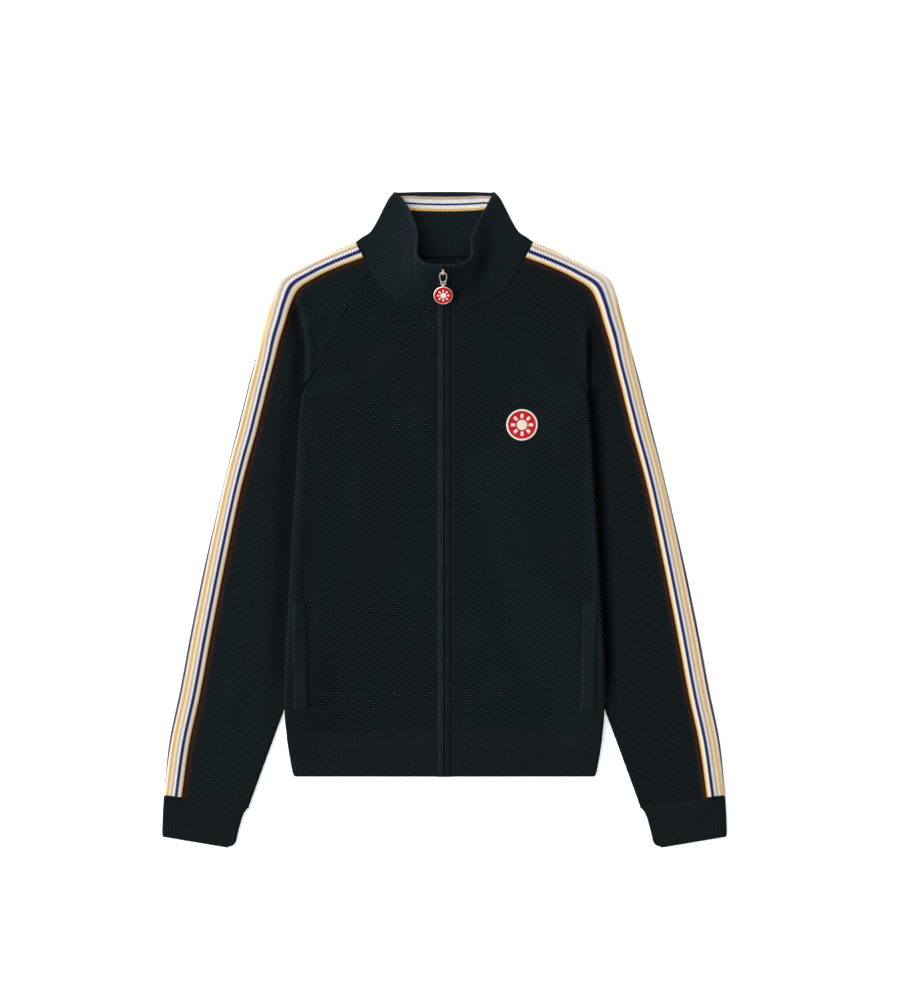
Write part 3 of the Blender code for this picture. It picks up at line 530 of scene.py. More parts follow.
def sleeve_frame(at):
    """What shapes the sleeve's section at this distance from the neck."""
    values = smooth(SECTION_AT, SECTION_KEYS, at)
    ahead = smooth(SECTION_AT, SECTION_KEYS, min(at + 2.0, SLEEVE_LENGTH))[4:6]
    behind = min(max(at - 2.0, 0.0), SLEEVE_LENGTH - 2.0)
    behind = smooth(SECTION_AT, SECTION_KEYS, behind)[4:6]
    run = (ahead - behind) / np.linalg.norm(ahead - behind)
    beyond = run * (at - min(max(at, 0.0), SLEEVE_LENGTH))
    inner, back, outer = (values[k : k + 2] + beyond for k in (0, 2, 4))
    show, stretch = values[6:8]
    normal = np.array((-run[1], run[0]))
    reach = np.linalg.norm(outer - inner)
    along = (outer - inner) / reach
    length = reach - (TAPE + TAPE_LIE) / abs(along @ normal)
    closing = float(ease((at - OPEN_END) / CLOSING))
    rise = lift(inner[0], inner[1]) * (1 - closing)
    radius = KNIT / 2 + FOLD_ROOM
    turn = length - KNIT / 2 - radius
    return inner, back, along, turn, radius, rise, closing, show, stretch


def sleeve_heights(distance, shape, is_front):
    """Level of one of the sleeve's layers at these distances from its inner edge."""
    inner, _, along, turn, radius, rise, closing = shape[:7]
    x, y = inner[0] + along[0] * distance, inner[1] + along[1] * distance
    raised = rise * (1 - ease(distance / RISE_REACH))
    raised = raised + (TAPE + TAPE_LIE + 0.1) * ease((distance - turn + TAPE_RISE) / TAPE_RISEN)
    if not is_front:
        return raised + KNIT / 2
    outside = ease((x - body_at(y, 1)) / 30.0)
    shut = TUCK_GAP + (SLEEVE_GAP - TUCK_GAP) * outside
    at_seam = body_gap(x)
    wide = at_seam + (SLEEVE_GAP - at_seam) * ease(distance / 30.0)
    gap = wide + (shut - wide) * closing
    near_fold = ease((distance - turn + FOLD_REACH) / FOLD_REACH)
    gap = gap + (2 * radius - KNIT - gap) * near_fold
    return raised + KNIT * 1.5 + gap


def sleeve_line(at, offset=KNIT / 2):
    """The sleeve's outer face at one section, and where the tape's edge stands on it.

    u is 0 at the outermost fold, less on the front layer and more on the back one.
    """
    shape = sleeve_frame(at)
    inner, back, along, turn, radius, _, closing, show, stretch = shape
    ends = sleeve_heights(np.array((0.0, 0.0)), shape, True)[0]
    middle = (ends - sleeve_heights(0.0, shape, False)) / 2
    start = SEAM / 2 + (KNIT / 2 + middle - SEAM / 2) * closing
    outer = middle + offset
    top_start = float(sleeve_heights(start, shape, True))
    low_start = float(sleeve_heights(start, shape, False))
    parts = []
    if closing > 0.02:
        a = np.linspace(math.pi / 2 * closing, 0.0, 9)[:-1]
        parts.append((start - outer * np.sin(a), top_start + offset - outer * (1 - np.cos(a))))
    d = np.linspace(start, turn, 70)
    parts.append((d, sleeve_heights(d, shape, True) + offset))
    a = np.linspace(0.0, math.pi, 19)[1:-1]
    top, bottom = (float(sleeve_heights(turn, shape, front)) for front in (True, False))
    wide = radius + offset
    parts.append((turn + wide * np.sin(a), (top + bottom) / 2 + wide * np.cos(a)))
    d, z = (np.concatenate([part[k] for part in parts]) for k in (0, 1))
    line = np.column_stack((inner[0] + along[0] * d, inner[1] + along[1] * d, z))
    corner = inner + along * turn
    seam = back + (inner + along * start - back) * closing
    run = seam - corner
    share = np.linspace(0.0, 1.0, 60)
    low = sleeve_heights(np.maximum(turn - np.linalg.norm(run) * share, 0.0), shape, False)
    if closing < 1:
        at_back = lift(back[0], back[1]) + KNIT / 2
        low = low + (at_back - low) * ease(share * 4 - 3) * (1 - closing)
    under = corner + run * share[:, None]
    parts = [line, np.column_stack((under, low - offset))]
    if closing > 0.02:
        a = np.linspace(0.0, math.pi / 2 * closing, 9)[1:]
        d, z = start - outer * np.sin(a), low_start - offset + outer * (1 - np.cos(a))
        parts.append(np.column_stack((inner[0] + along[0] * d, inner[1] + along[1] * d, z)))
    line = np.concatenate(parts)
    u = lengths(line)
    apex = int(np.argmax((line[:, :2] - inner) @ along))
    u = u - u[apex]
    tape_edge = turn + KNIT / 2 + radius + TAPE + TAPE_LIE - show
    plan = (line[:, :2] - inner) @ along
    edge_u = float(np.interp(tape_edge, plan[: apex + 1], u[: apex + 1]))
    return u, line, edge_u, plan - tape_edge, stretch


def sleeve_lines():
    """The sleeve's lines, from its neck to inside the cuff."""
    step = BUMP_ALONG / 2
    places = step * np.arange(-1, int(SLEEVE_LENGTH / step) + 1)
    lines = []
    for at in [*places, SLEEVE_LENGTH + SEWN + TUCKED]:
        u, line, edge_u, _, _ = sleeve_line(at)
        lines.append((at, u, line, edge_u - u))
    return lines


def tape_lines():
    """The striped tape on the sleeve's fold: u from its front edge, extra seen from above."""
    lines = []
    for at in np.linspace(-0.6, SLEEVE_LENGTH - 0.5, int(SLEEVE_LENGTH / 1.3)):
        u, line, edge_u, plan, stretch = sleeve_line(at, KNIT / 2 + TAPE_LIE + TAPE)
        apex = int(np.argmin(np.abs(u)))
        seen = np.where(np.arange(len(u)) <= apex, plan, plan[apex] + u)
        fine = np.append(np.arange(edge_u, TAPE_END, 0.4), TAPE_END)
        points = np.column_stack([np.interp(fine, u, line[:, k]) for k in range(3)])
        lines.append((at, fine - edge_u, points, np.interp(fine, u, seen) / stretch))
    return lines


def cuff_rings():
    """Rings round the flattened cuff, each a loop along its length: out, over the end and in."""
    wall, low, middle = RIB / 2, RIB / 2 + CUFF_LIE, (RIB + CUFF_GAP) / 2
    runs = lengths((CUFF[:, 0:2] + CUFF[:, 2:4]) / 2)
    out = np.append(np.linspace(0, 0.70, 6), (0.78, 0.84, 0.88, 0.92, 0.96, 1.0))
    places = np.concatenate((out, np.ones(5), np.linspace(1, 0.02, 6))) * runs[-1]
    roll = np.concatenate((out * 0, np.linspace(0.2, 0.8, 5), np.ones(6))) * math.pi
    row = smooth(runs, CUFF, places)
    inner, along = row[:, 0:2], row[:, 2:4] - row[:, 0:2]
    length = np.linalg.norm(along, axis=1)
    along = along / length[:, None]
    across = np.column_stack((along[:, 1], -along[:, 0]))
    end = across * (wall * np.sin(roll) * ROUND_END)[:, None]
    offset = wall * np.cos(roll)
    near, far = wall + middle, length - wall - middle
    straight, arc = far - near, math.pi * middle
    count = int(round(2 * (CUFF_WIDE + math.pi * (middle + wall)) / CUFF_RIB)) * 4
    rings, cuts = [], []
    for n in range(count):
        # How far round the section: along its top, round its outer side, back and round again
        s = n / count * 2 * (straight + arc)
        turn = np.clip(s - straight, 0, arc) + np.clip(s - 2 * straight - arc, 0, arc)
        level = near + np.clip(s, 0, straight) - np.clip(s - straight - arc, 0, straight)
        d = level + (middle + offset) * np.sin(turn / middle)
        z = low + middle + (middle + offset) * np.cos(turn / middle)
        rings.append(np.column_stack((inner + along * d[:, None] + end, z)))
        cuts.append(np.column_stack((np.full_like(d, n * CUFF_RIB / 4), places, roll > 2)))
    return np.array(rings), np.array(cuts)


def hem_rings():
    """Rings along half of the hem band, from the zip over the side fold to the centre back."""
    wall = RIB / 2
    height = HEM[-1, 0] - HEM[0, 0]
    steps = [(1 - k / 4, 0.0) for k in range(4)] + [(0.08, 0.0), (0.0, 0.0)]
    steps += [(0.0, a) for a in (30, 65, 90, 115, 150)]
    steps += [(k / 4, 180.0) for k in range(5)]
    steps = [(share, math.radians(angle)) for share, angle in steps]
    rows = []
    for share, angle in steps:
        y = HEM[0, 0] + wall + (height - wall) * share
        level = y - wall * math.sin(angle) * HEM_ROUND_END
        corner = 1 - min((level - HEM[0, 0]) / 4.5, 1.0)
        half = smooth(HEM[:, 0], HEM[:, 1], y) - 3.0 * (1 - math.sqrt(1 - corner * corner))
        settle = ease((-278.0 - y) / 30.0)

        def low(x, settle=settle):
            return RIB / 2 + lift(x, HEM_TOP) * (1 - settle)

        def high(x, low=low):
            return low(x) + RIB + body_gap(x) - 0.85

        offset = wall * math.cos(angle)
        turn = half - RIB / 2 - (high(half) - low(half)) / 2
        middle = (high(turn) - low(turn)) / 2
        x = np.linspace(FRONT_EDGE, turn, 80)
        top = np.column_stack((x, high(x) + offset))
        a = np.linspace(0, math.pi, 16)[1:-1]
        radius = middle + offset
        arc = (turn + radius * np.sin(a), low(turn) + middle + radius * np.cos(a))
        x = np.linspace(turn, 0.0, 80)
        line = np.concatenate((top, np.column_stack(arc), np.column_stack((x, low(x) - offset))))
        order = np.arange(len(line))
        if not rows:
            u = lengths(line)
            count = int(round(u[-1] / HEM_RIB)) * 4
            places = np.interp(np.linspace(0, u[-1], count + 1), u, order)
        points = [np.interp(places, order, line[:, k]) for k in (0, 1)]
        rows.append(np.column_stack((points[0], np.full(count + 1, level), points[1])))
    rings = np.array(rows).transpose(1, 0, 2)
    rings[-1, :, 0] = 0.0
    cuts = np.zeros_like(rings)
    cuts[:, :, 0] = (np.arange(count + 1) * HEM_RIB / 4)[:, None]
    cuts[:, :, 1] = rings[:, :, 1]
    cuts[:, :, 2] = np.array([1.0 if angle > 2 else 0.0 for _, angle in steps])
    return rings, cuts


def collar_ends(turn):
    """The neck seam's point and the top edge's point at this turn, as (x, y, z) each."""
    if turn <= FRONT_NECK_TURN:
        first = FRONT_EDGE / RAGLAN[-1, 0]
        share = first + (1 - first) * (1 - (1 - turn / FRONT_NECK_TURN) ** 1.4)
        x = RAGLAN[-1, 0] * share
        y = FRONT_NECK + FRONT_NECK_DEPTH * share**NECK_CURVE
        low = (x, y + SEAM, front_level(x, y) + 0.2)
    elif turn <= FOLD_START:
        share = (turn - FRONT_NECK_TURN) / (FOLD_START - FRONT_NECK_TURN)
        seam = RAGLAN[-1, 0:2] + (0, SEAM)
        point = seam + (NECK_FRONT_END - seam) * share
        low = (*point, NECK_FRONT_LEVEL + 0.2 * share)
    elif turn <= BACK_NECK_TURN:
        share = (turn - FOLD_END) / (BACK_NECK_TURN - FOLD_END)
        low = (*(NECK_BACK_END + (NECK_BACK_SEAM - NECK_BACK_END) * share), COLLAR_RIB / 2)
    else:
        share = (1 - turn) / (1 - BACK_NECK_TURN)
        y = NECK_BACK_Y + (NECK_BACK_SEAM[1] - NECK_BACK_Y) * share**2
        low = (NECK_BACK_SEAM[0] * share, y, COLLAR_RIB / 2)
    if turn <= FOLD_START:
        top = smooth(COLLAR_TOP[:, 0], COLLAR_TOP[:, 1:4], turn)
    else:
        share = (1 - turn) / (1 - FOLD_END)
        top = (COLLAR_TOP[-1, 1] * share, COLLAR_BACK_TOP - 0.6 * share**6, COLLAR_RIB / 2)
    return np.array(low), np.array(top)


def collar_middle(heights):
    """The collar's middle surface: points for each place along it and each height."""
    front = [*np.linspace(0.0, FRONT_NECK_TURN, 60), *np.linspace(0.47, 0.60, 12)]
    back = np.linspace(BACK_NECK_TURN, 1.0, 40)
    corners = COLLAR_SIDE[[0, -1], 1:3]
    side = smooth(COLLAR_SIDE[:, 0], COLLAR_SIDE[:, 1:3], heights)
    flare = side - (corners[0] + (corners[1] - corners[0]) * heights[:, None])

    def column(turn):
        low, top = collar_ends(turn)
        points = low + (top - low) * heights[:, None]
        points[:, 2] = low[2] + (top[2] - low[2]) * heights**COLLAR_RISE
        near_fold = ease(1 - abs(turn - (FOLD_START + FOLD_END) / 2) / 0.3)
        points[:, :2] += flare * near_fold
        return points

    columns = [column(turn) for turn in front]
    centre = side - FOLD_OUTWARD * (COLLAR_RIB / 2 + COLLAR_FOLD)
    for angle in np.linspace(0, math.pi, 11):
        place = centre + FOLD_OUTWARD * COLLAR_FOLD * math.sin(angle)
        place = place + np.outer(heights**3, (0.0, 2.6)) * float(ease(angle / math.pi))
        z = COLLAR_RIB / 2 + COLLAR_FOLD * (1 + math.cos(angle))
        columns.append(np.column_stack((place, np.full(len(heights), z))))
    columns += [column(turn) for turn in back]
    return np.array(columns)


def collar_rings():
    """Rings along half of the collar, each a loop from the neck over the top edge and back."""
    heights = np.concatenate((np.linspace(0, 0.9, 16), (0.94, 0.97, 1.0)))
    grid = collar_middle(heights)
    seam = lengths(grid[:, 0])
    count = int(round(seam[-1] / NECK_RIB)) * 4
    at = np.linspace(0, seam[-1], count + 1)
    fine = np.empty((count + 1, len(heights), 3))
    for k, axis in np.ndindex(len(heights), 3):
        fine[:, k, axis] = np.interp(at, seam, grid[:, k, axis])
    kernel = np.array((1, 2, 3, 4, 3, 2, 1)) / 16.0
    ends = np.repeat(fine[:1], 3, 0), fine[-2:-5:-1] * (-1, 1, 1)
    padded = np.concatenate((ends[0], fine, ends[1]))
    blended = sum(kernel[k] * padded[k : k + len(fine)] for k in range(7))
    fine[4:] = blended[4:]
    fine[-1, :, 0] = 0.0
    du, dh = np.gradient(fine, axis=0), np.gradient(fine, axis=1)
    normal = np.cross(du, dh)
    normal /= np.linalg.norm(normal, axis=2, keepdims=True)
    normal[-1, :, 0] = 0.0
    up = dh[:, -1] / np.linalg.norm(dh[:, -1], axis=1, keepdims=True)
    wall = COLLAR_RIB / 2
    top = np.linalg.norm(np.diff(fine, axis=1), axis=2).sum(axis=1)
    over = np.array((35, 65, 90, 115, 145)) / 180.0
    loops = [fine[:, k] + normal[:, k] * wall for k in range(len(heights))]
    for a in over * math.pi:
        out = normal[:, -1] * math.cos(a) + up * math.sin(a) * ROUND_END
        loops.append(fine[:, -1] + out * wall)
    loops += [fine[:, k] - normal[:, k] * wall for k in range(len(heights))][::-1]
    share = np.concatenate((heights, np.ones(len(over)), heights[::-1]))
    rings = np.array(loops).transpose(1, 0, 2)
    rings[-1, :, 0] = 0.0
    cuts = np.zeros_like(rings)
    cuts[:, :, 0] = (np.arange(count + 1) * NECK_RIB / 4)[:, None]
    cuts[:, :, 1] = np.outer(top, 1 - share)
    cuts[:, :, 2] = np.concatenate((heights * 0, over, heights * 0 + 1))
    others, far = rings[-2::-1] * (-1, 1, 1), cuts[-2::-1].copy()
    lean = np.interp(at, seam[[40, 56, 64, 72, 75]], (0.0, 0.8, 1.0, 0.4, 0.0))
    rings[:, :, 0] += FLAP_LEAN * np.outer(lean, share**2)
    far[:, :, 0] = 2 * cuts[-1, 0, 0] - far[:, :, 0]
    return np.concatenate((rings, others)), np.concatenate((cuts, far))


def centre_line():
    """The middle of the front edge from the hem to the collar's top, as (y, z)."""
    ys = (-326.4, -277.5, -155.0, 30.0, 165.0, 255.0)
    line = [(y, float(front_level(FRONT_EDGE, y))) for y in ys]
    low, top = collar_ends(0.0)
    for height in (0.0, 0.12, 0.27, 0.5, 0.76, 1.0):
        y = low[1] + (top[1] - low[1]) * height
        line.append((y, low[2] + (top[2] - low[2]) * height**COLLAR_RISE + 0.1))
    return np.array(line)


def strip_rings(profile, offset, spacing, trim=0.0):
    """A closed profile of (x, height) points, swept along the front edge."""
    line = centre_line()
    along = lengths(line)
    at = np.arange(0.0, along[-1] - trim, spacing)
    at = np.append(at, along[-1] - trim)
    spots = smooth(along, line, at)
    run = np.gradient(spots, axis=0)
    run /= np.linalg.norm(run, axis=1, keepdims=True)
    normal = np.column_stack((-run[:, 1], run[:, 0]))
    rings = np.empty((len(at), len(profile), 3))
    opened = 0.2 * bell(spots[:, 0] + 303.0, 13.0)
    for k, (x, height) in enumerate(profile):
        rings[:, k, 0] = x + opened * (1 - ease(x / 3.0))
        rings[:, k, 1:] = spots + normal * (offset + height)
    cuts = np.zeros_like(rings)
    cuts[:, :, 0], cuts[:, :, 1] = profile[:, 0], at[:, None]
    return rings, cuts


def flat_profile(inner, outer, thickness, rounding, crown, count):
    """A rounded flat section, as a closed loop of (x, height) points."""
    x = inner + (outer - inner) * (1 - np.cos(np.linspace(0, math.pi, count))) / 2
    share = (x - inner) / (outer - inner)
    edge = np.minimum(np.minimum(x - inner, outer - x) / rounding, 1.0)
    round_off = thickness / 2 * np.sqrt(np.clip(1 - (1 - edge) ** 2, 0, 1))
    top = round_off + crown * 4 * share * (1 - share)
    loop = list(zip(x, top)) + list(zip(x[-2:0:-1], -round_off[-2:0:-1]))
    return np.array(loop)


def welt_rings(side):
    """The welt across the front, swept up it; each ring is a rounded flat section."""
    rings, cuts = [], []
    low, high = WELT_ROWS
    step = WELT_RIB / 4
    count = int((high[0] - low[0]) / step)
    for n in range(count + 1):
        y = low[0] + (high[0] - low[0]) * n / count
        inner, outer = low[1:] + (high[1:] - low[1:]) * n / count
        close = min(min(n, count - n) * step / WELT_ENDS, 1.0)
        height = WELT_EDGE + WELT_HEIGHT * math.sqrt(1 - (1 - close) ** 2)
        profile = flat_profile(inner, outer, 2 * height, 1.3, 0.25, 10)
        x = profile[:, 0]
        places = np.column_stack((x, np.full_like(x, y), np.zeros_like(x)))
        places[:, 2] = surface(places, side) + np.where(profile[:, 1] > 0, profile[:, 1], -0.3)
        rings.append(places)
        cuts.append(np.column_stack((x - inner, np.full_like(x, n * step), np.zeros_like(x))))
    return np.array(rings), np.array(cuts)


class Value:
    """A number or colour made by a material's nodes, whose sums add nodes of their own."""

    def __init__(self, look, socket):
        self.look, self.socket = look, socket

    def __add__(self, other):
        return self.look.math("ADD", self, other)

    def __sub__(self, other):
        return self.look.math("SUBTRACT", self, other)

    def __rsub__(self, other):
        return self.look.math("SUBTRACT", other, self)

    def __mul__(self, other):
        return self.look.math("MULTIPLY", self, other)

    def __gt__(self, other):
        return self.look.math("GREATER_THAN", self, other)

    def __lt__(self, other):
        return self.look.math("LESS_THAN", self, other)

    __radd__, __rmul__ = __add__, __mul__


class Nodes:
    """A node tree under construction, with short ways to add its nodes."""

    def __init__(self, owner):
        owner.use_nodes = True
        self.tree = owner.node_tree

    def plug(self, socket, value):
        if isinstance(value, Value):
            self.tree.links.new(value.socket, socket)
        elif isinstance(value, tuple) and socket.type == "RGBA":
            socket.default_value = (*value, 1.0)
        else:
            socket.default_value = value

    def add(self, kind, *values, output=0, plugs=None, **settings):
        """What a new node gives, with its first inputs plugged, and the ones named in plugs."""
        node = self.tree.nodes.new(kind)
        for setting, value in settings.items():
            setattr(node, setting, value)
        for key, value in {**dict(enumerate(values)), **(plugs or {})}.items():
            self.plug(node.inputs[key], value)
        return Value(self, node.outputs[output])

    def math(self, operation, *values):
        return self.add("ShaderNodeMath", *values, operation=operation)


class Look(Nodes):
    """A material under construction."""

    def __init__(self, name, roughness, metallic=0.0, **sockets):
        self.material = bpy.data.materials.new(name)
        super().__init__(self.material)
        self.shader = self.tree.nodes["Principled BSDF"]
        fixed = {"Roughness": roughness, "Metallic": metallic, **sockets}
        for socket, value in fixed.items():
            self.shader.inputs[socket.replace("_", " ")].default_value = value

    def parts(self, place):
        node = self.add("ShaderNodeSeparateXYZ", place).socket.node
        return [Value(self, socket) for socket in node.outputs]

    def cut(self):
        """Places on the cut, in millimetres: across, along, the piece's own measure, and all."""
        place = self.add("ShaderNodeAttribute", output="Vector", attribute_name="cut")
        return [*self.parts(place), place]

    def own(self):
        return self.add("ShaderNodeTexCoord", output="Object")

    def painted_light_factor(self):
        """1 less the painted shade that the mesh stores, more than 1 where it stores a painted
        highlight.
        """
        return 1.0 - self.add("ShaderNodeAttribute", output="Fac", attribute_name="painted_shading")

    def spread(self, value, low, high):
        """0 below low and 1 above high, with a soft step between."""
        return self.add("ShaderNodeMapRange", value, low, high, interpolation_type="SMOOTHSTEP")

    def mix(self, share, first, second):
        plugs = {0: share, 6: first, 7: second}
        return self.add("ShaderNodeMix", output=2, plugs=plugs, data_type="RGBA")

    def shade(self, colour, factor):
        """The colour made lighter or darker by a factor."""
        return self.add("ShaderNodeVectorMath", colour, plugs={"Scale": factor}, operation="SCALE")

    def wave(self, value, pitch):
        return self.math("COSINE", value * (2 * math.pi / pitch))

    def noise(self, vector, size, detail=2.0):
        plugs = {"Vector": vector, "Scale": 1.0 / size, "Detail": detail}
        return self.add("ShaderNodeTexNoise", plugs=plugs)

    def steps(self, value, reach, stops):
        """Bands of colour along a value: each stop is where a band starts, and its colour."""
        bands = self.add("ShaderNodeValToRGB", value * (1.0 / reach))
        ramp = bands.socket.node.color_ramp
        ramp.interpolation = "CONSTANT"
        while len(ramp.elements) < len(stops):
            ramp.elements.new(0.5)
        for element, (start, colour) in zip(ramp.elements, stops):
            element.position = start / reach
            element.color = (*colour, 1.0)
        return bands

    def finish(self, colour, height=None, depth=0.3, strength=0.6):
        self.plug(self.shader.inputs["Base Color"], colour)
        if height is not None:
            plugs = {"Strength": strength, "Distance": depth * MM, "Height": height}
            self.plug(self.shader.inputs["Normal"], self.add("ShaderNodeBump", plugs=plugs))
        return self.material


# Painted light and shade: the pique's, ribs', welt's, collar's and brown band's pairs are one yarn's
# colour, painted lighter where the tops of its bumps or ribs catch the light and darker for the shade
# in the gaps between them; the lighter brown also colours the tape's brown bands, and the collar's
# darker one its bands' ends.
KNIT_LIT_BUMP, KNIT_SHADED_GAP = (0.0160, 0.0268, 0.0308), (0.0009, 0.0018, 0.0024)
RIB_LIT_TOP, RIB_SHADED_GAP = (0.0080, 0.0126, 0.0146), (0.0021, 0.0035, 0.0042)
WELT_LIT_TOP = (0.0098, 0.0160, 0.0184)
COLLAR_LIGHT, COLLAR_DARK = (0.0094, 0.0155, 0.0190), (0.0012, 0.0023, 0.0030)
TWILL_DARK, TWILL_LIGHT = (0.004, 0.005, 0.006), (0.011, 0.013, 0.016)
BROWN_LIGHT, BROWN_DARK = (0.0700, 0.0270, 0.0150), (0.0140, 0.0056, 0.0042)
EDGE_YELLOW = (0.57, 0.31, 0.062)
YELLOW, CREAM, WHITE = (0.64, 0.41, 0.14), (0.72, 0.66, 0.54), (0.68, 0.69, 0.64)
BEIGE, PINK, NAVY = (0.46, 0.36, 0.285), (0.73, 0.62, 0.51), (0.0115, 0.016, 0.105)
THREAD_RED, ENAMEL_RED = (0.46, 0.004, 0.018), (0.50, 0.001, 0.004)
ENAMEL_WHITE = (0.80, 0.77, 0.72)
DULL_GOLD, BRIGHT_GOLD = (0.70, 0.56, 0.32), (0.82, 0.69, 0.46)
DULL_PALE_GOLD, BRIGHT_PALE_GOLD = (0.84, 0.75, 0.60), (0.90, 0.82, 0.70)
FLOOR_LOW, FLOOR_HIGH = (0.955, 0.955, 0.955), (0.965, 0.965, 0.965)

# The striped tape's bands from its front edge, and where its outer yellow starts and ends
TAPE_STITCH, OUTER_YELLOW = 2.9, (18.6, 22.1)
TAPE_BANDS = (
    (0.0, BROWN_LIGHT), (1.3, EDGE_YELLOW), (3.5, CREAM), (7.0, NAVY), (11.0, WHITE),
    (13.5, BEIGE), (16.4, PINK), (OUTER_YELLOW[0], YELLOW), (OUTER_YELLOW[1], CREAM),
    (25.0, NAVY), (27.9, CREAM), (32.1, YELLOW), (34.5, BROWN_LIGHT),
)
# The bands inside the collar from its top edge
COLLAR_BANDS = (
    (0.0, COLLAR_DARK), (4.4, BEIGE), (8.4, WHITE), (13.0, NAVY), (15.6, WHITE),
    (19.8, YELLOW), (22.9, COLLAR_DARK),
)
# Where the collar's inner stripes start and its middle, along its neck seam from the zip
COLLAR_STRIPES, COLLAR_MIDDLE = 130.0, 262.4
# The badges' sun as shares of their radius: disc, rays, how the rays taper, and the patch's border
SUN_DISC, RAY_START, RAY_END, RAY_TAPER, RAY_EDGE = 0.33, 0.43, 0.70, 1.5, 0.62
PATCH_BORDER, NO_BORDER = 0.885, 2.0


def cloth_look(name):
    return Look(name, 0.95, Specular_IOR_Level=0.05, Sheen_Weight=0.02, Sheen_Roughness=0.5)


def pique_look(name, banded=False, ribbed_neck=False):
    """Dark pique: staggered bumps painted lighter on their lit tops and darker in the shade between
    them, on the sleeves a brown band, on the body ribs by the hem.
    """
    look = cloth_look(name)
    u, v, extra, place = look.cut()
    wave = look.wave(u, BUMP_ACROSS) * look.wave(v, 2 * BUMP_ALONG)
    bump = look.spread(wave, -0.1, 0.9)
    colour = look.mix(bump, KNIT_SHADED_GAP, KNIT_LIT_BUMP)
    if banded:
        near = 1.0 - look.spread(extra + wave * 0.7, 2.6, 9.0)
        brown = look.mix(bump, BROWN_DARK, BROWN_LIGHT)
        colour = look.mix(near * look.spread(extra, -1.5, -0.5), colour, brown)
    else:
        rib = look.spread(look.wave(u - FRONT_EDGE, HEM_RIB), -0.9, 0.7)
        above = look.spread(v, RIB_FROM - 0.8, RIB_FROM + 0.8)
        colour = look.mix(above, look.mix(rib, RIB_SHADED_GAP, RIB_LIT_TOP), colour)
    if ribbed_neck:
        rib = look.spread(look.wave(u, NECK_RIB), -0.95, 0.5)
        above = look.spread(v, NECK_RIB_FROM - 1.0, NECK_RIB_FROM + 1.0)
        colour = look.mix(above, colour, look.mix(rib, COLLAR_DARK, COLLAR_LIGHT))
    yarn = look.noise(place, 0.9)
    tone = look.noise(place, 55.0, 3.0) * 0.22 + yarn * 0.30
    # Times the painted shade and highlight that the mesh stores
    tone = (tone + look.noise(place, 2.4, 1.0) * 0.44 + 0.52) * look.painted_light_factor()
    return look.finish(look.shade(colour, tone), yarn * 0.4 + bump, 0.35, 0.7)


def rib_look(name, pitch, light=RIB_LIT_TOP, across=False):
    """Dark ribbing with small stitches along each rib, painted lighter on the ribs' lit tops and
    darker in the shade between them. across turns the ribs level.
    """
    look = cloth_look(name)
    u, v, _, place = look.cut()
    if across:
        u, v = v, u
    rib = look.spread(look.wave(u, pitch), -0.9, 0.7)
    tone = look.noise(place, 40.0, 3.0) * 0.3 + look.noise(place, 0.8) * 0.42
    tone = tone + look.noise(place, 2.6, 1.0) + 0.14
    colour = look.shade(look.mix(rib, RIB_SHADED_GAP, light), tone)
    return look.finish(colour, look.wave(v, 1.7) * 0.12 + rib, 0.3, 0.6)


def tape_look(name):
    """Striped tape: bands along it with toothed edges, and stitches across them."""
    look = Look(name, 0.9, Specular_IOR_Level=0.1)
    _, v, seen, place = look.cut()
    tooth = look.math("PINGPONG", v, TAPE_STITCH / 2) * (2 / TAPE_STITCH) - 0.5
    inner = seen < 4.3
    at = tooth * (inner + 1.6) + seen + 1.5
    outer = (at > OUTER_YELLOW[0]) * (at < OUTER_YELLOW[1])
    shoulder = look.spread(v, 18.0, 34.0) - look.spread(v, 98.0, 130.0)
    colour = look.mix(outer * shoulder, look.steps(at, 50.0, TAPE_BANDS), CREAM)
    # Painted shade and light across the stitches, and the inner bands painted a little lighter
    # against the shade at the tape's sunk edge
    stitch = look.wave(seen, 1.5) * look.wave(v, TAPE_STITCH / 2)
    ladder = look.wave(v, TAPE_STITCH) * 0.6 + stitch
    tone = ladder * 0.15 + inner * 0.03 + look.noise(place, 1.2, 3.0) * 0.16 + 0.88
    return look.finish(look.shade(colour, tone), ladder, 0.3, 0.5)


def collar_look(name):
    """Ribbed collar, with the striped tape's bands inside its back, under the top edge."""
    look = cloth_look(name)
    u, top, face, place = look.cut()
    rib = look.spread(look.wave(u, NECK_RIB), -0.95, 0.5)
    # Painted highlight along the rolled top edge, over ribs painted lighter on their lit tops and
    # darker in the shade between them
    edge = (1.0 - look.spread(top, 1.0, 5.0)) * 0.75
    dark = look.mix(edge, look.mix(rib, COLLAR_DARK, COLLAR_LIGHT), COLLAR_LIGHT)
    tooth = look.math("PINGPONG", u, NECK_RIB / 2) * (1.8 / NECK_RIB) - 0.45
    off = (u - COLLAR_MIDDLE) * (1 / 60.0)
    at = top + tooth + look.math("MINIMUM", off * off * 0.25 - 0.25, 0.2)
    near = look.math("MINIMUM", u, 2 * COLLAR_MIDDLE - u)
    behind = look.spread(near, COLLAR_STRIPES, COLLAR_STRIPES + 1.0)
    within = (at > COLLAR_BANDS[1][0]) * (at < COLLAR_BANDS[-1][0])
    share = look.spread(face, 0.55, 0.65) * behind * within
    colour = look.mix(share, dark, look.steps(at, 40.0, COLLAR_BANDS))
    tone = look.noise(place, 30.0, 3.0) * 0.3 + look.noise(place, 0.8) * 0.26
    tone = tone + look.noise(place, 2.4, 1.0) * 0.56 + 0.42
    # Painted light on the ribs' tops, and the stored painted shade beside the opening and the zip
    tone = tone * (rib * 0.3 + 0.78) * look.painted_light_factor()
    return look.finish(look.shade(colour, tone), rib, 0.3, 0.5)


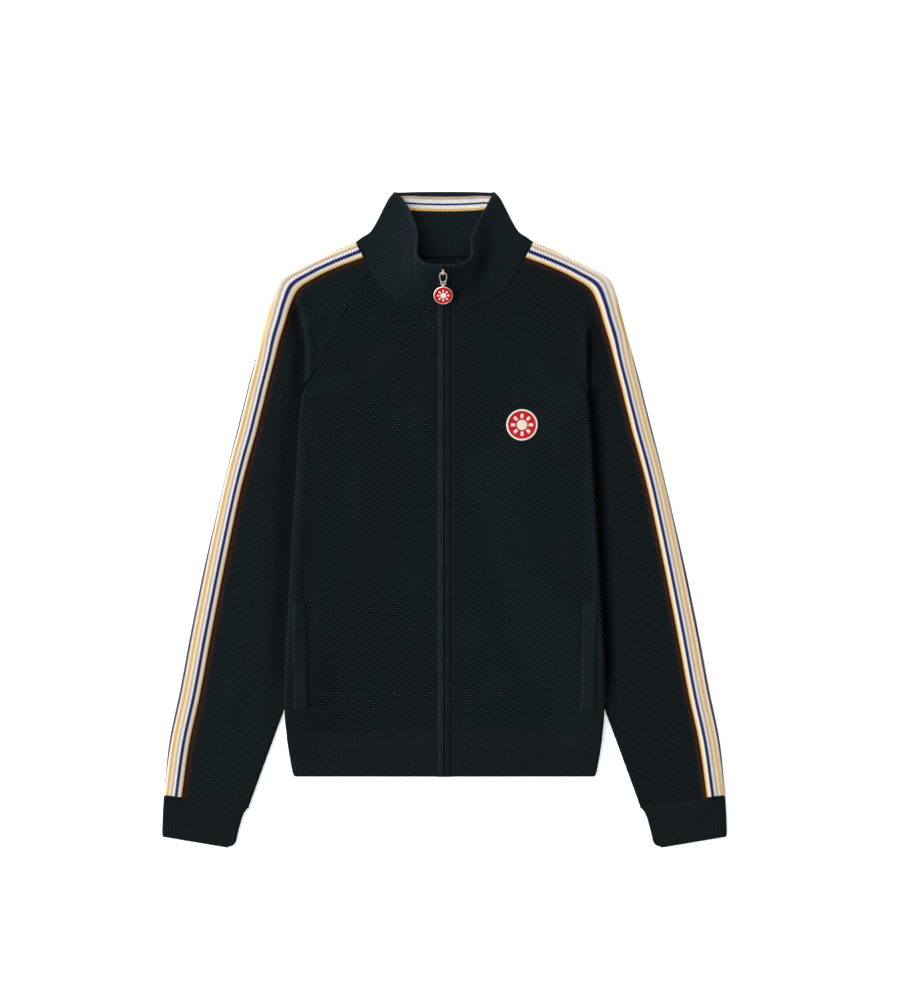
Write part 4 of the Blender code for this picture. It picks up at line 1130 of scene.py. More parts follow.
def plain_look(name, factor, wide):
    """Smooth dark knit of the plackets: fine columns of stitches painted as lit tops and shaded gaps,
    with painted shade in the grooves at both edges.
    """
    look = cloth_look(name)
    u, v, _, place = look.cut()
    column = look.wave(u, 1.25)
    weave = look.wave(look.math("ABSOLUTE", column) * 0.5 + v, 1.5) * 0.4 + column
    colour = look.mix(look.spread(weave, -1.2, 1.0), RIB_SHADED_GAP, RIB_LIT_TOP)
    tone = look.noise(place, 30.0, 3.0) * 0.3 + look.noise(place, 2.6, 1.0) * 0.76 + 0.42
    # Painted shade in the grooves at both edges; factor is a painted brightness for how the light
    # falls on each side's placket
    inner = look.spread(u, 0.2, 1.3) * 0.85 + 0.15
    outer = look.spread(u, wide - 1.3, wide - 0.3) * -0.7 + 1.0
    return look.finish(look.shade(colour, tone * factor * inner * outer), weave, 0.15, 0.5)


def woven_look(name):
    """Black woven zip tape."""
    look = Look(name, 0.75, Specular_IOR_Level=0.25)
    u, v, _, place = look.cut()
    twill = look.wave(u + v, 0.9)
    colour = look.mix(look.spread(twill, -1.0, 1.0), TWILL_DARK, TWILL_LIGHT)
    return look.finish(look.shade(colour, look.noise(place, 2.0) * 0.4 + 0.8), twill, 0.12, 0.5)


def gold_look(name, dull, bright):
    """Polished light gold with faint scratches."""
    look = Look(name, 0.22, 1.0)
    wear = look.noise(look.own(), 0.0016, 4.0)
    look.plug(look.shader.inputs["Roughness"], wear * 0.16 + 0.14)
    return look.finish(look.mix(look.spread(wear, 0.3, 0.7), dull, bright), wear, 0.02, 0.3)


def badge_look(name, thread):
    """Red round with a light sun, in thread with a border or in enamel. cut: x, y and radius."""
    look = Look(name, 0.75 if thread else 0.22, Specular_IOR_Level=0.2 if thread else 0.3)
    x, y, size, place = look.cut()
    radius = look.math("DIVIDE", look.math("SQRT", x * x + y * y), size)
    angle = look.math("ARCTAN2", y, x)
    rays = look.math("COSINE", angle * 8.0) > radius * RAY_TAPER - RAY_EDGE
    rays = rays * (radius > RAY_START) * (radius < RAY_END)
    light = look.math("MAXIMUM", radius < SUN_DISC, rays)
    if not thread:
        return look.finish(look.mix(light, ENAMEL_RED, ENAMEL_WHITE), light, 0.1, 0.3)
    border = radius > PATCH_BORDER
    colour = look.mix(look.math("MAXIMUM", light, border), THREAD_RED, CREAM)
    weave = look.mix(border, look.wave(x + y * 0.25, 0.55), look.wave(angle * 20.0, 0.8))
    tone = weave * 0.10 + look.noise(place, 0.7) * 0.2 + 0.82
    return look.finish(look.shade(colour, tone), weave, 0.18, 0.6)


def floor_look(name):
    """Pale floor that glows a little, but not under the body."""
    look = Look(name, 0.9, Specular_IOR_Level=0.0)
    place = look.own()
    x, y, _ = look.parts(place)
    under = (look.math("ABSOLUTE", x) < NO_GLOW[0]) * (look.math("ABSOLUTE", y) < NO_GLOW[1])
    look.plug(look.shader.inputs["Emission Strength"], under * -FLOOR_GLOW + FLOOR_GLOW)
    return look.finish(look.mix(look.noise(place, 0.004), FLOOR_LOW, FLOOR_HIGH))


def row_ends(cuts):
    """How far each place stands from its row's first and last places."""
    _, row = np.unique(cuts[:, 1], return_inverse=True)
    low, high = np.full(row.max() + 1, 1e9), np.full(row.max() + 1, -1e9)
    np.minimum.at(low, row, cuts[:, 0])
    np.maximum.at(high, row, cuts[:, 0])
    return cuts[:, 0] - low[row], high[row] - cuts[:, 0]


def seam_groove(distance):
    """A seam's own relief: the cloth dips into it beside a soft ridge."""
    return -0.7 * bell(distance, 1.1) + 0.6 * bell(distance - 3.2, 1.7)


def beside_body(inset, low, high):
    """A path at this distance inside the body's side edge, or outside where it is negative."""
    return [(float(body_at(y, 1)) - inset, y) for y in np.linspace(low, high, 9)]


# Soft creases: path seen from above, width, height (a trough where it is negative)
FRONT_PATHS = {1: (
    (((150, 205), (120, 165), (80, 140)), 16.0, 1.6),
    (((172, 150), (150, 110), (142, 60)), 13.0, 1.5),
    (((60, 255), (95, 225), (120, 190)), 18.0, -1.1),
    (((25, 90), (60, 60), (110, 40), (150, 10)), 26.0, 1.2),
    (((20, -40), (70, -75), (140, -95)), 24.0, -1.0),
    (((40, -230), (90, -215), (150, -225)), 15.0, 1.5),
    (((30, -262), (80, -255), (140, -262)), 9.0, -0.9),
    (((165, -60), (160, 0), (163, 50)), 14.0, 1.1),
    (((15, 240), (30, 180), (32, 110)), 14.0, 0.9),
    (beside_body(2.5, -250, 160), 5.5, 1.7),
    (beside_body(17.0, -220, 120), 9.0, -0.9),
), -1: (
    (((148, 210), (115, 175), (70, 155)), 18.0, 1.4),
    (((170, 145), (155, 95), (150, 40)), 14.0, 1.6),
    (((55, 250), (90, 215), (118, 175)), 17.0, -1.1),
    (((30, 60), (75, 45), (130, 50)), 24.0, 1.1),
    (((25, -70), (80, -60), (150, -85)), 26.0, -1.0),
    (((30, -225), (80, -235), (140, -220)), 16.0, 1.4),
    (((50, -262), (110, -256), (160, -264)), 9.0, -0.9),
    (((168, -30), (162, 30), (165, 70)), 13.0, 1.2),
    (((14, 200), (26, 140), (24, 60)), 13.0, 0.9),
    (beside_body(10.0, -250, 160), 7.0, 2.2),
    (beside_body(26.0, -220, 120), 10.0, -1.0),
)}
SLEEVE_CREASES = (
    (((165, 262), (185, 225), (196, 170), (205, 110)), 13.0, 2.2),
    (((190, 262), (208, 215), (216, 160)), 10.0, -1.0),
    (((215, 120), (228, 60), (240, 0)), 15.0, 1.6),
    (((222, 20), (250, 5), (266, 20)), 11.0, -1.0),
    (((222, -40), (245, -50), (275, -40)), 12.0, 1.3),
    (((240, -110), (262, -105), (290, -120)), 12.0, 1.2),
    (((235, -90), (255, -80), (280, -85)), 9.0, -0.8),
    (((255, -190), (270, -230), (285, -280)), 13.0, 1.5),
    (((290, -200), (298, -250), (306, -300)), 9.0, 1.0),
    (((262, -330), (285, -338), (310, -330)), 9.0, 1.3),
    (((258, -352), (290, -356), (330, -350)), 6.0, -0.8),
    (beside_body(-6.0, -240, 165), 10.0, -2.4),
)
# The fold that runs up from each armpit
ARMPIT_FOLDS = {
    1: (
        (((184.5, 252), (185.2, 220), (185.5, 190), (186, 155)), 3.8, -3.0),
        (((178.5, 246), (179, 212), (180, 180)), 4.0, 1.5),
    ),
    -1: (
        (((196, 292), (187, 255), (182, 222), (184, 190), (189, 150)), 7.0, -2.2),
        (((184, 292), (176, 250), (170.5, 218), (172, 190), (177, 160)), 6.0, 3.0),
    ),
}
UNDER_CREASES = (
    (((0, 120), (60, 100), (120, 130)), 22.0, -1.2),
    (((30, -40), (90, -60), (150, -30)), 24.0, -1.2),
    (((20, -210), (80, -225), (140, -205)), 18.0, -1.1),
    (((190, 200), (205, 120), (215, 60)), 14.0, -1.1),
    (((230, -60), (262, -75), (285, -60)), 13.0, -1.1),
    (((250, -250), (275, -262), (300, -255)), 12.0, -1.1),
)
COLLAR_CREASES = (
    (((34, 316), (42, 332), (42, 352), (46, 374)), 5.5, 1.9),
    (((30, 284), (44, 300), (54, 324), (58, 352)), 8.0, -2.2),
    (((12, 272), (20, 284), (30, 296)), 7.0, -1.6),
    (((75, 330), (84, 350), (80, 376)), 9.0, 1.2),
    (((-36, 318), (-43, 334), (-42, 354), (-48, 378)), 6.0, 1.6),
    (((-24, 296), (-40, 306), (-56, 330), (-60, 360)), 9.0, -1.3),
    (((-14, 284), (-26, 296), (-34, 312)), 6.0, 1.0),
    (((-42, 346), (-42, 322), (-38, 300)), 2.6, -1.1),
    (((-35, 342), (-35, 322), (-31, 304)), 3.4, 1.1),
    (((-72, 326), (-82, 346), (-80, 372)), 9.0, 1.3),
)


def panel_relief(paths, seam_from=None):
    """Relief of a pique panel: its bumps, its seams' grooves and its creases.

    A body panel has a seam at its far end above seam_from, and a sleeve has one at both ends up
    to its underarm.
    """

    def relief(points, cuts, normals):
        start, end = row_ends(cuts)
        ribbed = ease((RIB_FROM - cuts[:, 1]) / 1.5)
        texture = pique(cuts[:, 0], cuts[:, 1]) * (1 - ribbed) - 0.15 * ribbed
        if seam_from is None:
            sewn, near = 1 - ease((cuts[:, 1] - OPEN_END) / SEWN_FADE), np.minimum(start, end)
        else:
            sewn, near = ease((cuts[:, 1] - seam_from) / SEWN_FADE), end
        texture = texture * (1 - 0.8 * sewn * bell(near, 3.0)) + sewn * seam_groove(near)
        under = creases(points, normals, UNDER_CREASES, under=True)
        return texture, creases(points, normals, paths) + under

    return relief


def tape_relief(points, cuts, normals):
    """Toothed edges and ribs along the striped tape."""
    tooth = 0.75 + 0.35 * np.cos(2 * math.pi * cuts[:, 1] / TAPE_STITCH)
    texture = -0.6 * bell(np.minimum(*row_ends(cuts)), 0.7 * tooth) + ribbing(cuts[:, 0], 1.5, 0.32)
    return texture, creases(points, normals, SLEEVE_CREASES) * 0.6


def rib_relief(pitch, depth):
    return lambda points, cuts, normals: ribbing(cuts[:, 0], pitch, depth)


def across_relief(pitch, depth):
    """Ribs across a strip, on the face that looks up."""
    return lambda points, cuts, normals: ease(normals[:, 2] * 2) * ribbing(cuts[:, 1], pitch, depth)


def collar_relief(points, cuts, normals):
    near_top = bell(cuts[:, 1], 3.0)
    total = ribbing(cuts[:, 0], NECK_RIB, NECK_RELIEF) * (1 - 0.6 * near_top)
    total = total + 0.5 * near_top * ease(normals[:, 2] * 2)
    return total + creases(points, normals, COLLAR_CREASES) * (cuts[:, 2] < 0.5)


def solid(name, made, place):
    """An object from a bmesh in millimetres, shaded smooth, that keeps its own places as cut."""
    mesh = bpy.data.meshes.new(name)
    made.to_mesh(mesh)
    made.free()
    store(mesh, "cut", vectors(mesh.vertices, "co"))
    mesh.transform(Matrix.Scale(MM, 4))
    mesh.shade_smooth()
    mesh.set_sharp_from_angle(angle=math.radians(50))
    obj = link(name, mesh)
    obj.matrix_world = place
    return obj


def tilted(place, angle):
    return Matrix.Translation(place * MM) @ Matrix.Rotation(angle, 4, "X")


def join(made, part):
    """Moves one bmesh into another."""
    held = bpy.data.meshes.new("part")
    part.to_mesh(held)
    part.free()
    made.from_mesh(held)
    bpy.data.meshes.remove(held)


def ring_into(made, major, minor, rise=0.0, segments=(40, 14)):
    """Adds an upright wire ring to a bmesh."""
    upright = Matrix.Rotation(math.radians(90), 3, "Y")
    grid = []
    for a in (2 * math.pi * i / segments[0] for i in range(segments[0])):
        row = []
        for b in (2 * math.pi * j / segments[1] for j in range(segments[1])):
            reach = major + minor * math.cos(b)
            place = Vector((reach * math.cos(a), reach * math.sin(a), minor * math.sin(b)))
            row.append(made.verts.new(upright @ place + Vector((0, 0, rise))))
        grid.append(row)
    for i in range(segments[0]):
        for j in range(segments[1]):
            k, n = (i + 1) % segments[0], (j + 1) % segments[1]
            made.faces.new((grid[i][j], grid[k][j], grid[k][n], grid[i][n]))


def block_into(made, size, centre, bevel, segments=3):
    """Adds a rounded block to a bmesh."""
    box = bmesh.new()
    bmesh.ops.create_cube(box, size=1.0)
    bmesh.ops.scale(box, vec=size, verts=box.verts)
    bmesh.ops.bevel(
        box, geom=box.edges[:], offset=bevel, segments=segments, profile=0.6, affect="EDGES"
    )
    bmesh.ops.translate(box, vec=centre, verts=box.verts)
    join(made, box)


def outline_mesh(outlines, thickness, bevel):
    """A flat plate with holes and rounded edges, as a bmesh. The outlines' right halves are given."""
    curve = bpy.data.curves.new("outline", "CURVE")
    curve.dimensions = "2D"
    curve.fill_mode = "BOTH"
    curve.extrude = (thickness / 2 - bevel) * MM
    curve.bevel_depth = bevel * MM
    curve.bevel_resolution = 3
    curve.offset = -bevel * MM
    curve.resolution_u = 8
    for half in outlines:
        points = half + [(-x, y) for x, y in reversed(half)]
        spline = curve.splines.new("BEZIER")
        spline.bezier_points.add(len(points) - 1)
        for target, (x, y) in zip(spline.bezier_points, points):
            target.co = (x * MM, y * MM, 0)
            target.handle_left_type = target.handle_right_type = "AUTO"
        spline.use_cyclic_u = True
    shape = link("outline", curve)
    graph = bpy.context.evaluated_depsgraph_get()
    mesh = bpy.data.meshes.new_from_object(shape.evaluated_get(graph))
    bpy.data.objects.remove(shape)
    made = bmesh.new()
    made.from_mesh(mesh)
    bpy.data.meshes.remove(mesh)
    bmesh.ops.remove_doubles(made, verts=made.verts, dist=0.000005)
    bmesh.ops.scale(made, vec=(1 / MM, 1 / MM, 1 / MM), verts=made.verts)
    return made


def zip_slider():
    """The slider's two plates, its wedge and the bail that holds the pull."""
    made = bmesh.new()
    block_into(made, (2.2, 5.0, 1.6), (0, -1.2, -0.2), 0.4)
    block_into(made, (2.8, 6.4, 0.8), (0, -0.4, -1.3), 0.35)
    half = [(0.45, 4.5), (1.15, 2.8), (1.9, 0.0), (1.7, -3.4), (0.9, -4.1)]
    wedge = outline_mesh([half], 1.1, 0.35)
    bmesh.ops.translate(wedge, vec=(0, 0, 0.75), verts=wedge.verts)
    join(made, wedge)
    ring_into(made, 2.2, 0.55, 2.0)
    return solid("slider", made, tilted(SLIDER_AT, SLIDER_TILT))


def zip_pull():
    """Flat keyhole loop with a slot at its tail."""
    half = [(1.6, 0.95), (3.6, 0.1), (4.75, -2.4), (4.9, -5.4), (4.3, -9.4), (3.6, -13.0)]
    half += [(3.3, -16.2), (2.1, -17.45)]
    window = [(1.7, -0.8), (3.2, -1.9), (3.7, -4.4), (3.5, -7.6), (2.8, -10.8), (1.4, -11.7)]
    slot = [(1.0, -13.3), (1.7, -13.8), (1.7, -15.6), (1.0, -16.2)]
    return solid("pull", outline_mesh([half, window, slot], 1.2, 0.25), tilted(HINGE_AT, PULL_TILT))


def turned(made, profile, drop, segments=96):
    """Adds a round turned about an axis at y = drop, from a profile of (radius, height)."""
    rows = []
    for radius, height in profile:
        count = segments if radius else 1
        angles = [2 * math.pi * k / count for k in range(count)]
        places = [(radius * math.cos(a), drop + radius * math.sin(a), height) for a in angles]
        rows.append([made.verts.new(place) for place in places])
    for low, high in zip(rows, rows[1:]):
        for k in range(segments):
            n = (k + 1) % segments
            corners = [low[k % len(low)], low[n % len(low)], high[n % len(high)], high[k % len(high)]]
            made.faces.new(list(dict.fromkeys(corners)))


def badge(name, radius, top, raised, border, rings=36, spokes=144):
    """Domed disc with a raised sun and border, and a flat underside."""
    share = np.append(np.linspace(0.0, 1.0, rings), 1.0)[:, None]
    angle = 2 * math.pi * np.arange(spokes) / spokes
    x, y = radius * share * np.cos(angle), radius * share * np.sin(angle)
    reach, angle = np.hypot(x, y) / radius, np.arctan2(y, x)
    rays = np.cos(8 * angle) > RAY_TAPER * reach - RAY_EDGE
    light = (reach < SUN_DISC) | (rays & (reach > RAY_START) & (reach < RAY_END)) | (reach > border)
    height = top + raised * light.astype(float)
    height[-2], height[-1] = top * 0.55, 0.0
    points = np.column_stack((x.ravel(), y.ravel(), height.ravel()))
    ids = np.arange(len(points)).reshape(x.shape)
    after = np.roll(ids, -1, axis=1)
    faces = []
    for k in range(rings):
        faces.append(np.column_stack((ids[k], ids[k + 1], after[k + 1])))
        if k:
            faces.append(np.column_stack((ids[k], after[k + 1], after[k])))
    faces.append(np.column_stack((ids[-1], np.full(spokes, len(points)), after[-1])))
    points = np.concatenate((points, [(0.0, 0.0, 0.0)]))
    faces = np.concatenate(faces)
    faces[faces < spokes] = 0
    cuts = points.copy()
    cuts[:, 2] = radius
    return make_object(name, points, faces, cuts)


def surface(points, side):
    """Height of the front's nominal face with its creases, at places in its own half."""
    up = np.zeros_like(points)
    up[:, 2] = 1.0
    level = front_level(points[:, 0], points[:, 1]) + KNIT / 2
    return level + creases(points, up, FRONT_PATHS[side])


def chest_badge():
    """The patch, laid on the front's face."""
    patch = badge("chest_badge", PATCH_RADIUS, top=1.0, raised=0.45, border=PATCH_BORDER)
    places = vectors(patch.data.vertices, "co") / MM + (PATCH_X, PATCH_Y, -0.1)
    places[:, 2] += surface(places, 1)
    patch.data.vertices.foreach_set("co", (places * MM).ravel())
    return patch


def zip_charm():
    """Gold-rimmed enamel round on a ring, as one rim piece and one enamel face."""
    drop = CHARM_DROP
    made = bmesh.new()
    rim_profile = [(10.6, -0.9), (11.9, -0.9), (12.4, -0.45), (12.5, 0.0), (12.4, 0.45)]
    rim_profile += [(11.9, 0.9), (11.2, 0.85), (10.9, 0.4)]
    turned(made, [(0.0, -0.88), *rim_profile], drop)
    turned(made, [(10.9, 0.4), (0.0, 0.3)], drop)
    ring_into(made, 2.1, 0.5, segments=(32, 12))
    block_into(made, (2.6, 1.6, 1.1), (0, drop + 12.9, 0), 0.35)
    bmesh.ops.remove_doubles(made, verts=made.verts, dist=0.001)
    place = tilted(BAR_AT, CHARM_TILT)
    rim_piece = solid("charm_rim", made, place)
    face = badge("charm_face", ENAMEL_RADIUS, top=0.35, raised=0.16, border=NO_BORDER)
    face.matrix_world = place @ Matrix.Translation((0, drop * MM, 0.35 * MM))
    return rim_piece, face


def zip_teeth(side):
    """Row of metal teeth on one zip tape, as one joined mesh."""
    line = centre_line()
    along = lengths(line)
    made = bmesh.new()
    block_into(made, (3.0, 1.25, 1.0), (0, 0, 0), 0.22, 1)
    bmesh.ops.triangulate(made, faces=made.faces[:], quad_method="FIXED")
    made.verts.index_update()
    base = np.array([vert.co[:] for vert in made.verts])
    corners = np.array([[vert.index for vert in face.verts] for face in made.faces])
    made.free()
    start = TEETH_START + (TEETH_PITCH / 2 if side > 0 else 0.0)
    places = np.arange(start, along[-1] - TEETH_STOP, TEETH_PITCH)
    spots = smooth(along, line, places)
    ahead = smooth(along, line, places + 1.0) - spots
    run = ahead / np.linalg.norm(ahead, axis=1, keepdims=True)
    points, faces = [], []
    for k, (spot, step) in enumerate(zip(spots, run)):
        normal = np.array((-step[1], step[0]))
        yz = spot + normal * (base[:, 2:3] + TEETH_LEVEL) + step * base[:, 1:2]
        points.append(np.column_stack((base[:, 0] + 0.9, yz)))
        faces.append(corners + k * len(base))
    points, faces = np.concatenate(points), np.concatenate(faces)
    return make_object(f"teeth_{SIDES[side]}", points, faces, points, side=side)


SIDES = {1: "left", -1: "right"}
PLACKET_WIDTHS = {1: 8.0, -1: 9.4}

# The sleeve's painted shading: how dark the painted shade gets where it tucks under the body's
# edge, how much more at the armpit, how far outside the edge, how wide, how far up the armpit's
# fold, a painted tone over the whole sleeve for the side the light comes from (lighter where
# negative), and how much lighter the painted highlight on the ridge beside the fold is
SLEEVE_SHADE = {
    1: dict(depth=0.95, more=0.0, away=4.0, width=10.0, top=270.0, base=0.05, ridge=0.0),
    -1: dict(depth=0.40, more=0.26, away=0.5, width=22.0, top=305.0, base=-0.12, ridge=0.28),
}
# How that fold's edge goes on above the underarm: y and x
FOLD_EDGE = {
    1: np.array(((157.0, 180.2), (165.0, 178.6), (330.0, 178.6))),
    -1: np.array((
        (157.0, 181.3), (175.0, 179.4), (191.0, 177.8), (213.0, 176.2), (239.0, 179.4),
        (262.0, 186.0), (280.0, 192.4), (300.0, 201.0),
    )),
}
# How bright the painted highlight on each front's side edge is
EDGE_PAINTED_HIGHLIGHT = {1: 0.5, -1: 0.1}
# Painted shade over the pocket bags' bulge: how much darker (a painted highlight where negative), and
# below which height
POCKET_PAINTED_SHADING = {1: (-0.05, -99.0), -1: (0.05, -172.0)}
# Painted shade on the collar beside its opening and the zip: path, width and depth
COLLAR_PAINTED_SHADES = (
    (((50, 388), (53, 345), (44, 298)), 8.0, 0.34),
    (((17, 330), (19, 298), (17, 266)), 5.5, 0.36),
    (((-4, 300), (-26, 284), (-58, 300)), 15.0, 0.14),
    (((24, 310), (40, 292), (62, 306)), 13.0, 0.14),
    (((-41, 346), (-41.5, 322), (-37, 300)), 2.2, 0.30),
)


def sleeve_painted_shading(places, side, depth, more, away, width, top, base, ridge):
    """Painted shade on the sleeve where it goes under the body's edge, with a painted tone over it
    for the light's side and a painted highlight beside the armpit's fold.
    """
    x, y = places[:, 0] * side, places[:, 1]
    fold = FOLD_EDGE[side]
    edge = np.where(y < fold[0, 0], body_at(y, 1), np.interp(y, fold[:, 0], fold[:, 1]))
    out = x - edge - away
    ends = ease((y + 245.0) / 60.0) * (1 - ease((y - top + 50.0) / 50.0))
    depth = depth + more * ease((y - 150.0) / 35.0)
    tone = depth * bell(out, np.where(out > 0, width, 2.2)) * ends
    upper = ease((y - 160.0) / 20.0) * (1 - ease((y - 245.0) / 40.0))
    return base + tone * (1 - base) - ridge * upper * bell(out + 7.0, 6.5)


def front_painted_shading(places, cuts, side):
    """Painted highlight on the front's side edge, painted shade or highlight over the pocket bag, and
    painted shade at its seam.
    """
    x, y = places[:, 0] * side, places[:, 1]
    ends = ease((y + 275.0) / 30.0) * (1 - ease((y - 150.0) / 15.0))
    darker, below = POCKET_PAINTED_SHADING[side]
    pocket = ease((below + 3.0 - y) / 5.0) * ease((y + 272.0) / 8.0) * ease((x - 10.0) / 8.0)
    seam = bell(cuts[:, 2], 1.4) * ease((y - UNDERARM - 4.0) / 10.0)
    return 0.22 * seam + darker * pocket - EDGE_PAINTED_HIGHLIGHT[side] * bell(body_at(y, 1) - x, 3.2) * ends


# The cloth pieces and their cuts, in millimetres: piece, width, length, area, what it rests on,
# and the pieces sewn to it
FLATS = []


def dress(obj, look, slot, *nodes, body="jacket"):
    """Gives a piece its finish and its place in the frame."""
    obj.data.materials.clear()
    obj.data.materials.append(look)
    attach(obj, body)
    if nodes:
        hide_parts(*nodes)


def panel(name, finish, lines, relief, below, length=None, sheet=(BUMP_ACROSS / 2, KNIT), **options):
    """Makes a panel from its lines, finishes it and notes its cut. sheet is (step, thickness)."""
    obj, area = cloth(name, lines, *sheet, relief, **options)
    dress(obj, *finish)
    width = max(u[-1] - u[0] for _, u, _, _ in lines) * (2 if options.get("welded") else 1)
    FLATS.append((obj, width, length or lines[-1][0] - lines[0][0], area, below, []))
    return obj, vectors(obj.data.vertices, "co") / MM


def band(name, finish, made, relief=None, cut=None, below=("floor",), **options):
    """Makes a band from its rings and cuts, finishes it and notes its cut where it has its own."""
    obj = tube(name, *made, relief, **options)
    dress(obj, *finish)
    if cut:
        width, length, area = (*cut, cut[0] * cut[1])[:3]
        FLATS.append((obj, width, length, area, list(below), []))
    return obj


def build_side(side, looks):
    """One side's panels, from the front to the cuff, and its half of the zip."""
    word = SIDES[side]
    front, places = panel(
        f"front_cloth_{word}", (looks["knit"], "dark_pique_knit", f"front_{word}"),
        panel_lines(front_line, FRONT_TOP), panel_relief(FRONT_PATHS[side], UNDERARM),
        ["back_cloth", f"sleeve_cloth_{word}"], side=side,
    )
    cuts = vectors(front.data.attributes["cut"].data, "vector")
    # The front's painted highlight and shade
    store(front.data, "painted_shading", front_painted_shading(places, cuts, side))
    sewn_to_front = FLATS[-1][-1]
    sleeve, places = panel(
        f"sleeve_cloth_{word}", (looks["sleeve"], "dark_pique_knit", f"sleeve_{word}"),
        sleeve_lines(), panel_relief(SLEEVE_CREASES + ARMPIT_FOLDS[side]),
        ["floor"], SLEEVE_LENGTH, flip=True, side=side,
    )
    # The sleeve's painted shade and highlight
    store(sleeve.data, "painted_shading", sleeve_painted_shading(places, side, **SLEEVE_SHADE[side]))
    panel(
        f"sleeve_stripes_{word}", (looks["tape"], "striped_tape", f"sleeve_tape_{word}"),
        tape_lines(), tape_relief, [sleeve.name, "floor"], SLEEVE_LENGTH, (0.75, TAPE),
        skip=(5, 6), flip=True, side=side,
    )
    band(
        f"cuff_rib_{word}", (looks["cuff"], "dark_rib_knit", f"cuff_{word}"),
        cuff_rings(), rib_relief(CUFF_RIB, CUFF_RELIEF), CUFF_CUT, closed=True, side=side,
    )
    wide = PLACKET_WIDTHS[side]
    profile = flat_profile(-0.03, wide, KNIT, 1.1, 0.4 + (wide - 8.0) * 0.2, 9)
    placket = band(
        f"placket_knit_{word}", (looks[f"placket_{word}"], "dark_rib_knit", f"placket_{word}"),
        strip_rings(profile, 0.0, PLACKET_STITCH / 2),
        across_relief(PLACKET_STITCH, PLACKET_RELIEF), side=side,
    )
    sewn_to_front.append(placket)
    profile = flat_profile(0.2, 13.0, ZIP_TAPE, 0.4, 0.0, 6)
    band(
        f"zip_band_{word}", (looks["zip_tape"], "zip_tape_black", f"zip_tape_{word}"),
        strip_rings(profile, ZIP_LEVEL, 4.0, 1.0), None, ZIP_CUT, ["back_cloth"], side=side,
    )
    dress(zip_teeth(side), looks["gold"], "gold_metal")
    band(
        f"welt_rib_{word}", (looks["welt"], "dark_rib_knit", f"pocket_welt_{word}"),
        welt_rings(side), across_relief(WELT_RIB, WELT_RELIEF), WELT_CUT, [front.name], side=side,
    )


def build_middle(looks):
    """The back, the hem band and the collar, which run across both sides."""
    panel(
        "back_cloth", (looks["back"], "dark_pique_knit", "back_panel"),
        panel_lines(back_line, BACK_TOP), panel_relief((), UNDERARM),
        ["floor", "sleeve_cloth_left", "sleeve_cloth_right"], flip=True, welded=True,
    )
    rings, cuts = hem_rings()
    band(
        "hem_rib", (looks["hem"], "dark_rib_knit", "hem_band"), (rings, cuts),
        rib_relief(HEM_RIB, HEM_RELIEF), (HEM_DEPTH, 2 * cuts[-1, 0, 0]), welded=True,
    )
    rings, cuts = collar_rings()
    along, tall = cuts[:, 0, 0], cuts[:, 0, 1]
    collar = band(
        "collar_rib", (looks["collar"], "dark_rib_knit", "collar"), (rings, cuts), collar_relief,
        (along[-1], tall.max(), float(np.trapz(tall, along)) * COLLAR_NARROWS),
    )
    places = vectors(collar.data.vertices, "co") / MM
    # Painted shade beside the collar's opening and the zip
    store(collar.data, "painted_shading", sum(along_path(places, *path) for path in COLLAR_PAINTED_SHADES))


def build_small(looks):
    """The chest badge and the zip's metal."""
    patch = chest_badge()
    dress(patch, looks["patch"], "red_patch", "chest_patch")
    wide = 2 * PATCH_RADIUS
    FLATS.append((patch, wide, wide, math.pi * PATCH_RADIUS**2, ["front_cloth_left"], []))
    dress(zip_slider(), looks["gold"], "gold_metal", "zip_slider")
    dress(zip_pull(), looks["pale_gold"], "gold_metal", "zip_pull", body="pull")
    rim_piece, face = zip_charm()
    dress(rim_piece, looks["pale_gold"], "gold_metal", "zip_charm", body="charm")
    dress(face, looks["enamel"], "red_enamel", body="charm")


def make_looks():
    return {
        "knit": pique_look("dark_pique_knit"),
        "back": pique_look("dark_pique_knit_back", ribbed_neck=True),
        "sleeve": pique_look("dark_pique_knit_banded", banded=True),
        "tape": tape_look("striped_tape"),
        "hem": rib_look("dark_rib_hem", HEM_RIB),
        "cuff": rib_look("dark_rib_cuff", CUFF_RIB),
        "welt": rib_look("dark_rib_welt", WELT_RIB, WELT_LIT_TOP, across=True),
        "collar": collar_look("dark_rib_collar"),
        # The factors are each placket's painted brightness, for how the light falls on each side
        "placket_left": plain_look("dark_placket_knit_left", 1.10, PLACKET_WIDTHS[1]),
        "placket_right": plain_look("dark_placket_knit_right", 1.74, PLACKET_WIDTHS[-1]),
        "zip_tape": woven_look("zip_tape_black"),
        "gold": gold_look("gold_metal", DULL_GOLD, BRIGHT_GOLD),
        "pale_gold": gold_look("gold_metal_pale", DULL_PALE_GOLD, BRIGHT_PALE_GOLD),
        "patch": badge_look("red_patch_thread", True),
        "enamel": badge_look("red_enamel", False),
    }


# The sky's tilt to the left and up, its bright side's strength and its even part
SKY_TILT, SKY_BRIGHT, SKY_EVEN = (-0.55, 0.25, 0.0), 2.97, 0.20
# A large soft lamp from the left: its place, size and power
KEY_AT, KEY_SIZE, KEY_POWER = (-4.4, 1.6, 4.2), 3.0, 60.0
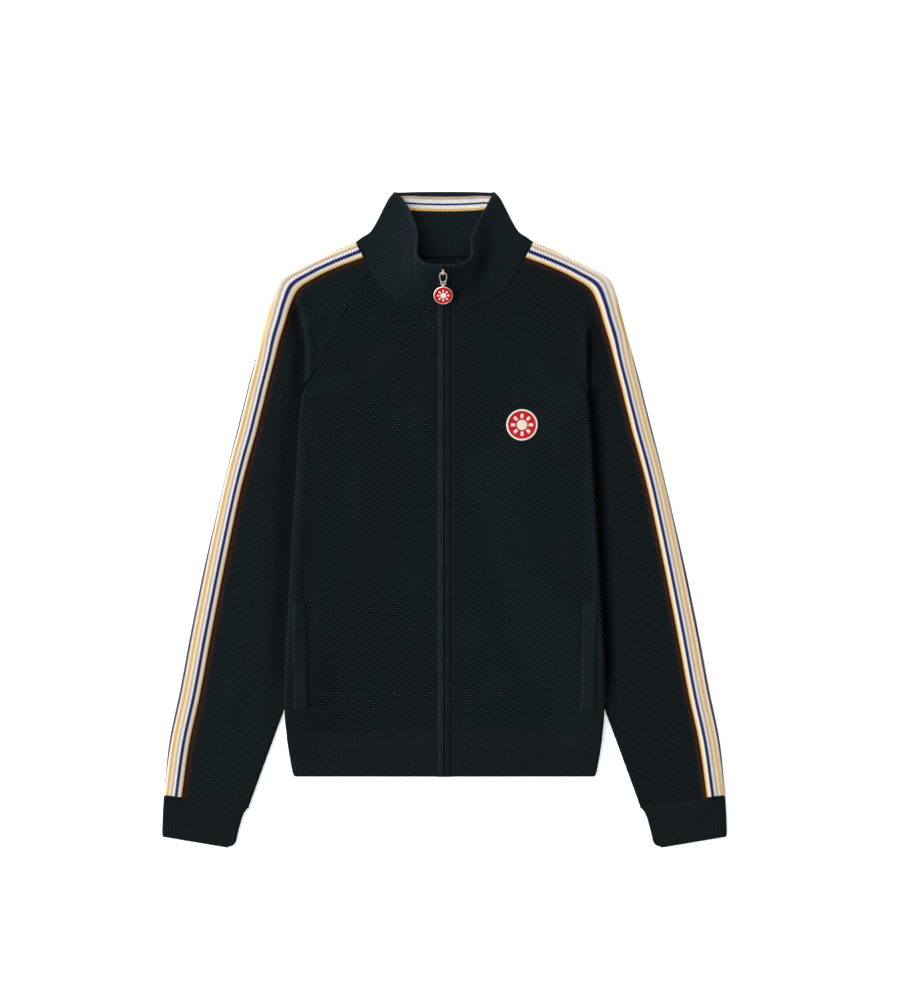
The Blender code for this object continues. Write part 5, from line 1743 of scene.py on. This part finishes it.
# The floor's height, its glow, and the half width and half length under the body without it
FLOOR_AT, FLOOR_GLOW, NO_GLOW = -0.0004, 0.45, (0.172, 0.310)
# The view's long side at the jacket, in metres, and where the camera stands above it
VIEW_HEIGHT, CAMERA_AT = 1.2649, (0.007, 0.0273, 6.0)


def sky(world):
    """Soft light from all round, brighter from the left and the collar's end."""
    nodes = Nodes(world)
    place = nodes.add("ShaderNodeTexCoord", output="Generated")
    settings = {"output": "Value", "operation": "DOT_PRODUCT"}
    tilt = nodes.add("ShaderNodeVectorMath", place, SKY_TILT, **settings)
    bright = nodes.math("POWER", nodes.math("MAXIMUM", tilt + 0.5, 0.0), 2.0)
    background = nodes.tree.nodes["Background"].inputs
    nodes.plug(background["Color"], (1.0, 1.0, 1.0))
    nodes.plug(background["Strength"], bright * SKY_BRIGHT + SKY_EVEN)


def studio():
    """Pale floor, soft light and the camera, straight above the jacket."""
    made = bmesh.new()
    bmesh.ops.create_grid(made, x_segments=8, y_segments=8, size=9.0)
    mesh = bpy.data.meshes.new("floor")
    made.to_mesh(mesh)
    made.free()
    floor = link("floor", mesh)
    floor.location.z = FLOOR_AT
    floor.data.materials.append(floor_look("pale_floor"))
    world = bpy.data.worlds.new("studio")
    bpy.context.scene.world = world
    sky(world)
    lamp = bpy.data.lights.new("key", "AREA")
    lamp.size, lamp.energy = KEY_SIZE, KEY_POWER
    key = link("key", lamp)
    key.location = KEY_AT
    key.rotation_euler = (-Vector(KEY_AT)).to_track_quat("-Z", "Y").to_euler()
    lens = bpy.data.cameras.new("camera")
    lens.sensor_width = 36.0
    lens.lens = lens.sensor_width * CAMERA_AT[2] / VIEW_HEIGHT
    lens.clip_end = 60.0
    camera = link("camera", lens)
    camera.location = CAMERA_AT
    bpy.context.scene.camera = camera
    bpy.context.scene.view_settings.view_transform = "Standard"


looks = make_looks()
for side in (1, -1):
    build_side(side, looks)
build_middle(looks)
build_small(looks)
studio()

for obj, width, length, area, below, sewn in FLATS:
    round(width * MM, 4)
    round(length * MM, 4)
    math.floor(min(area, width * length)) * MM * MM
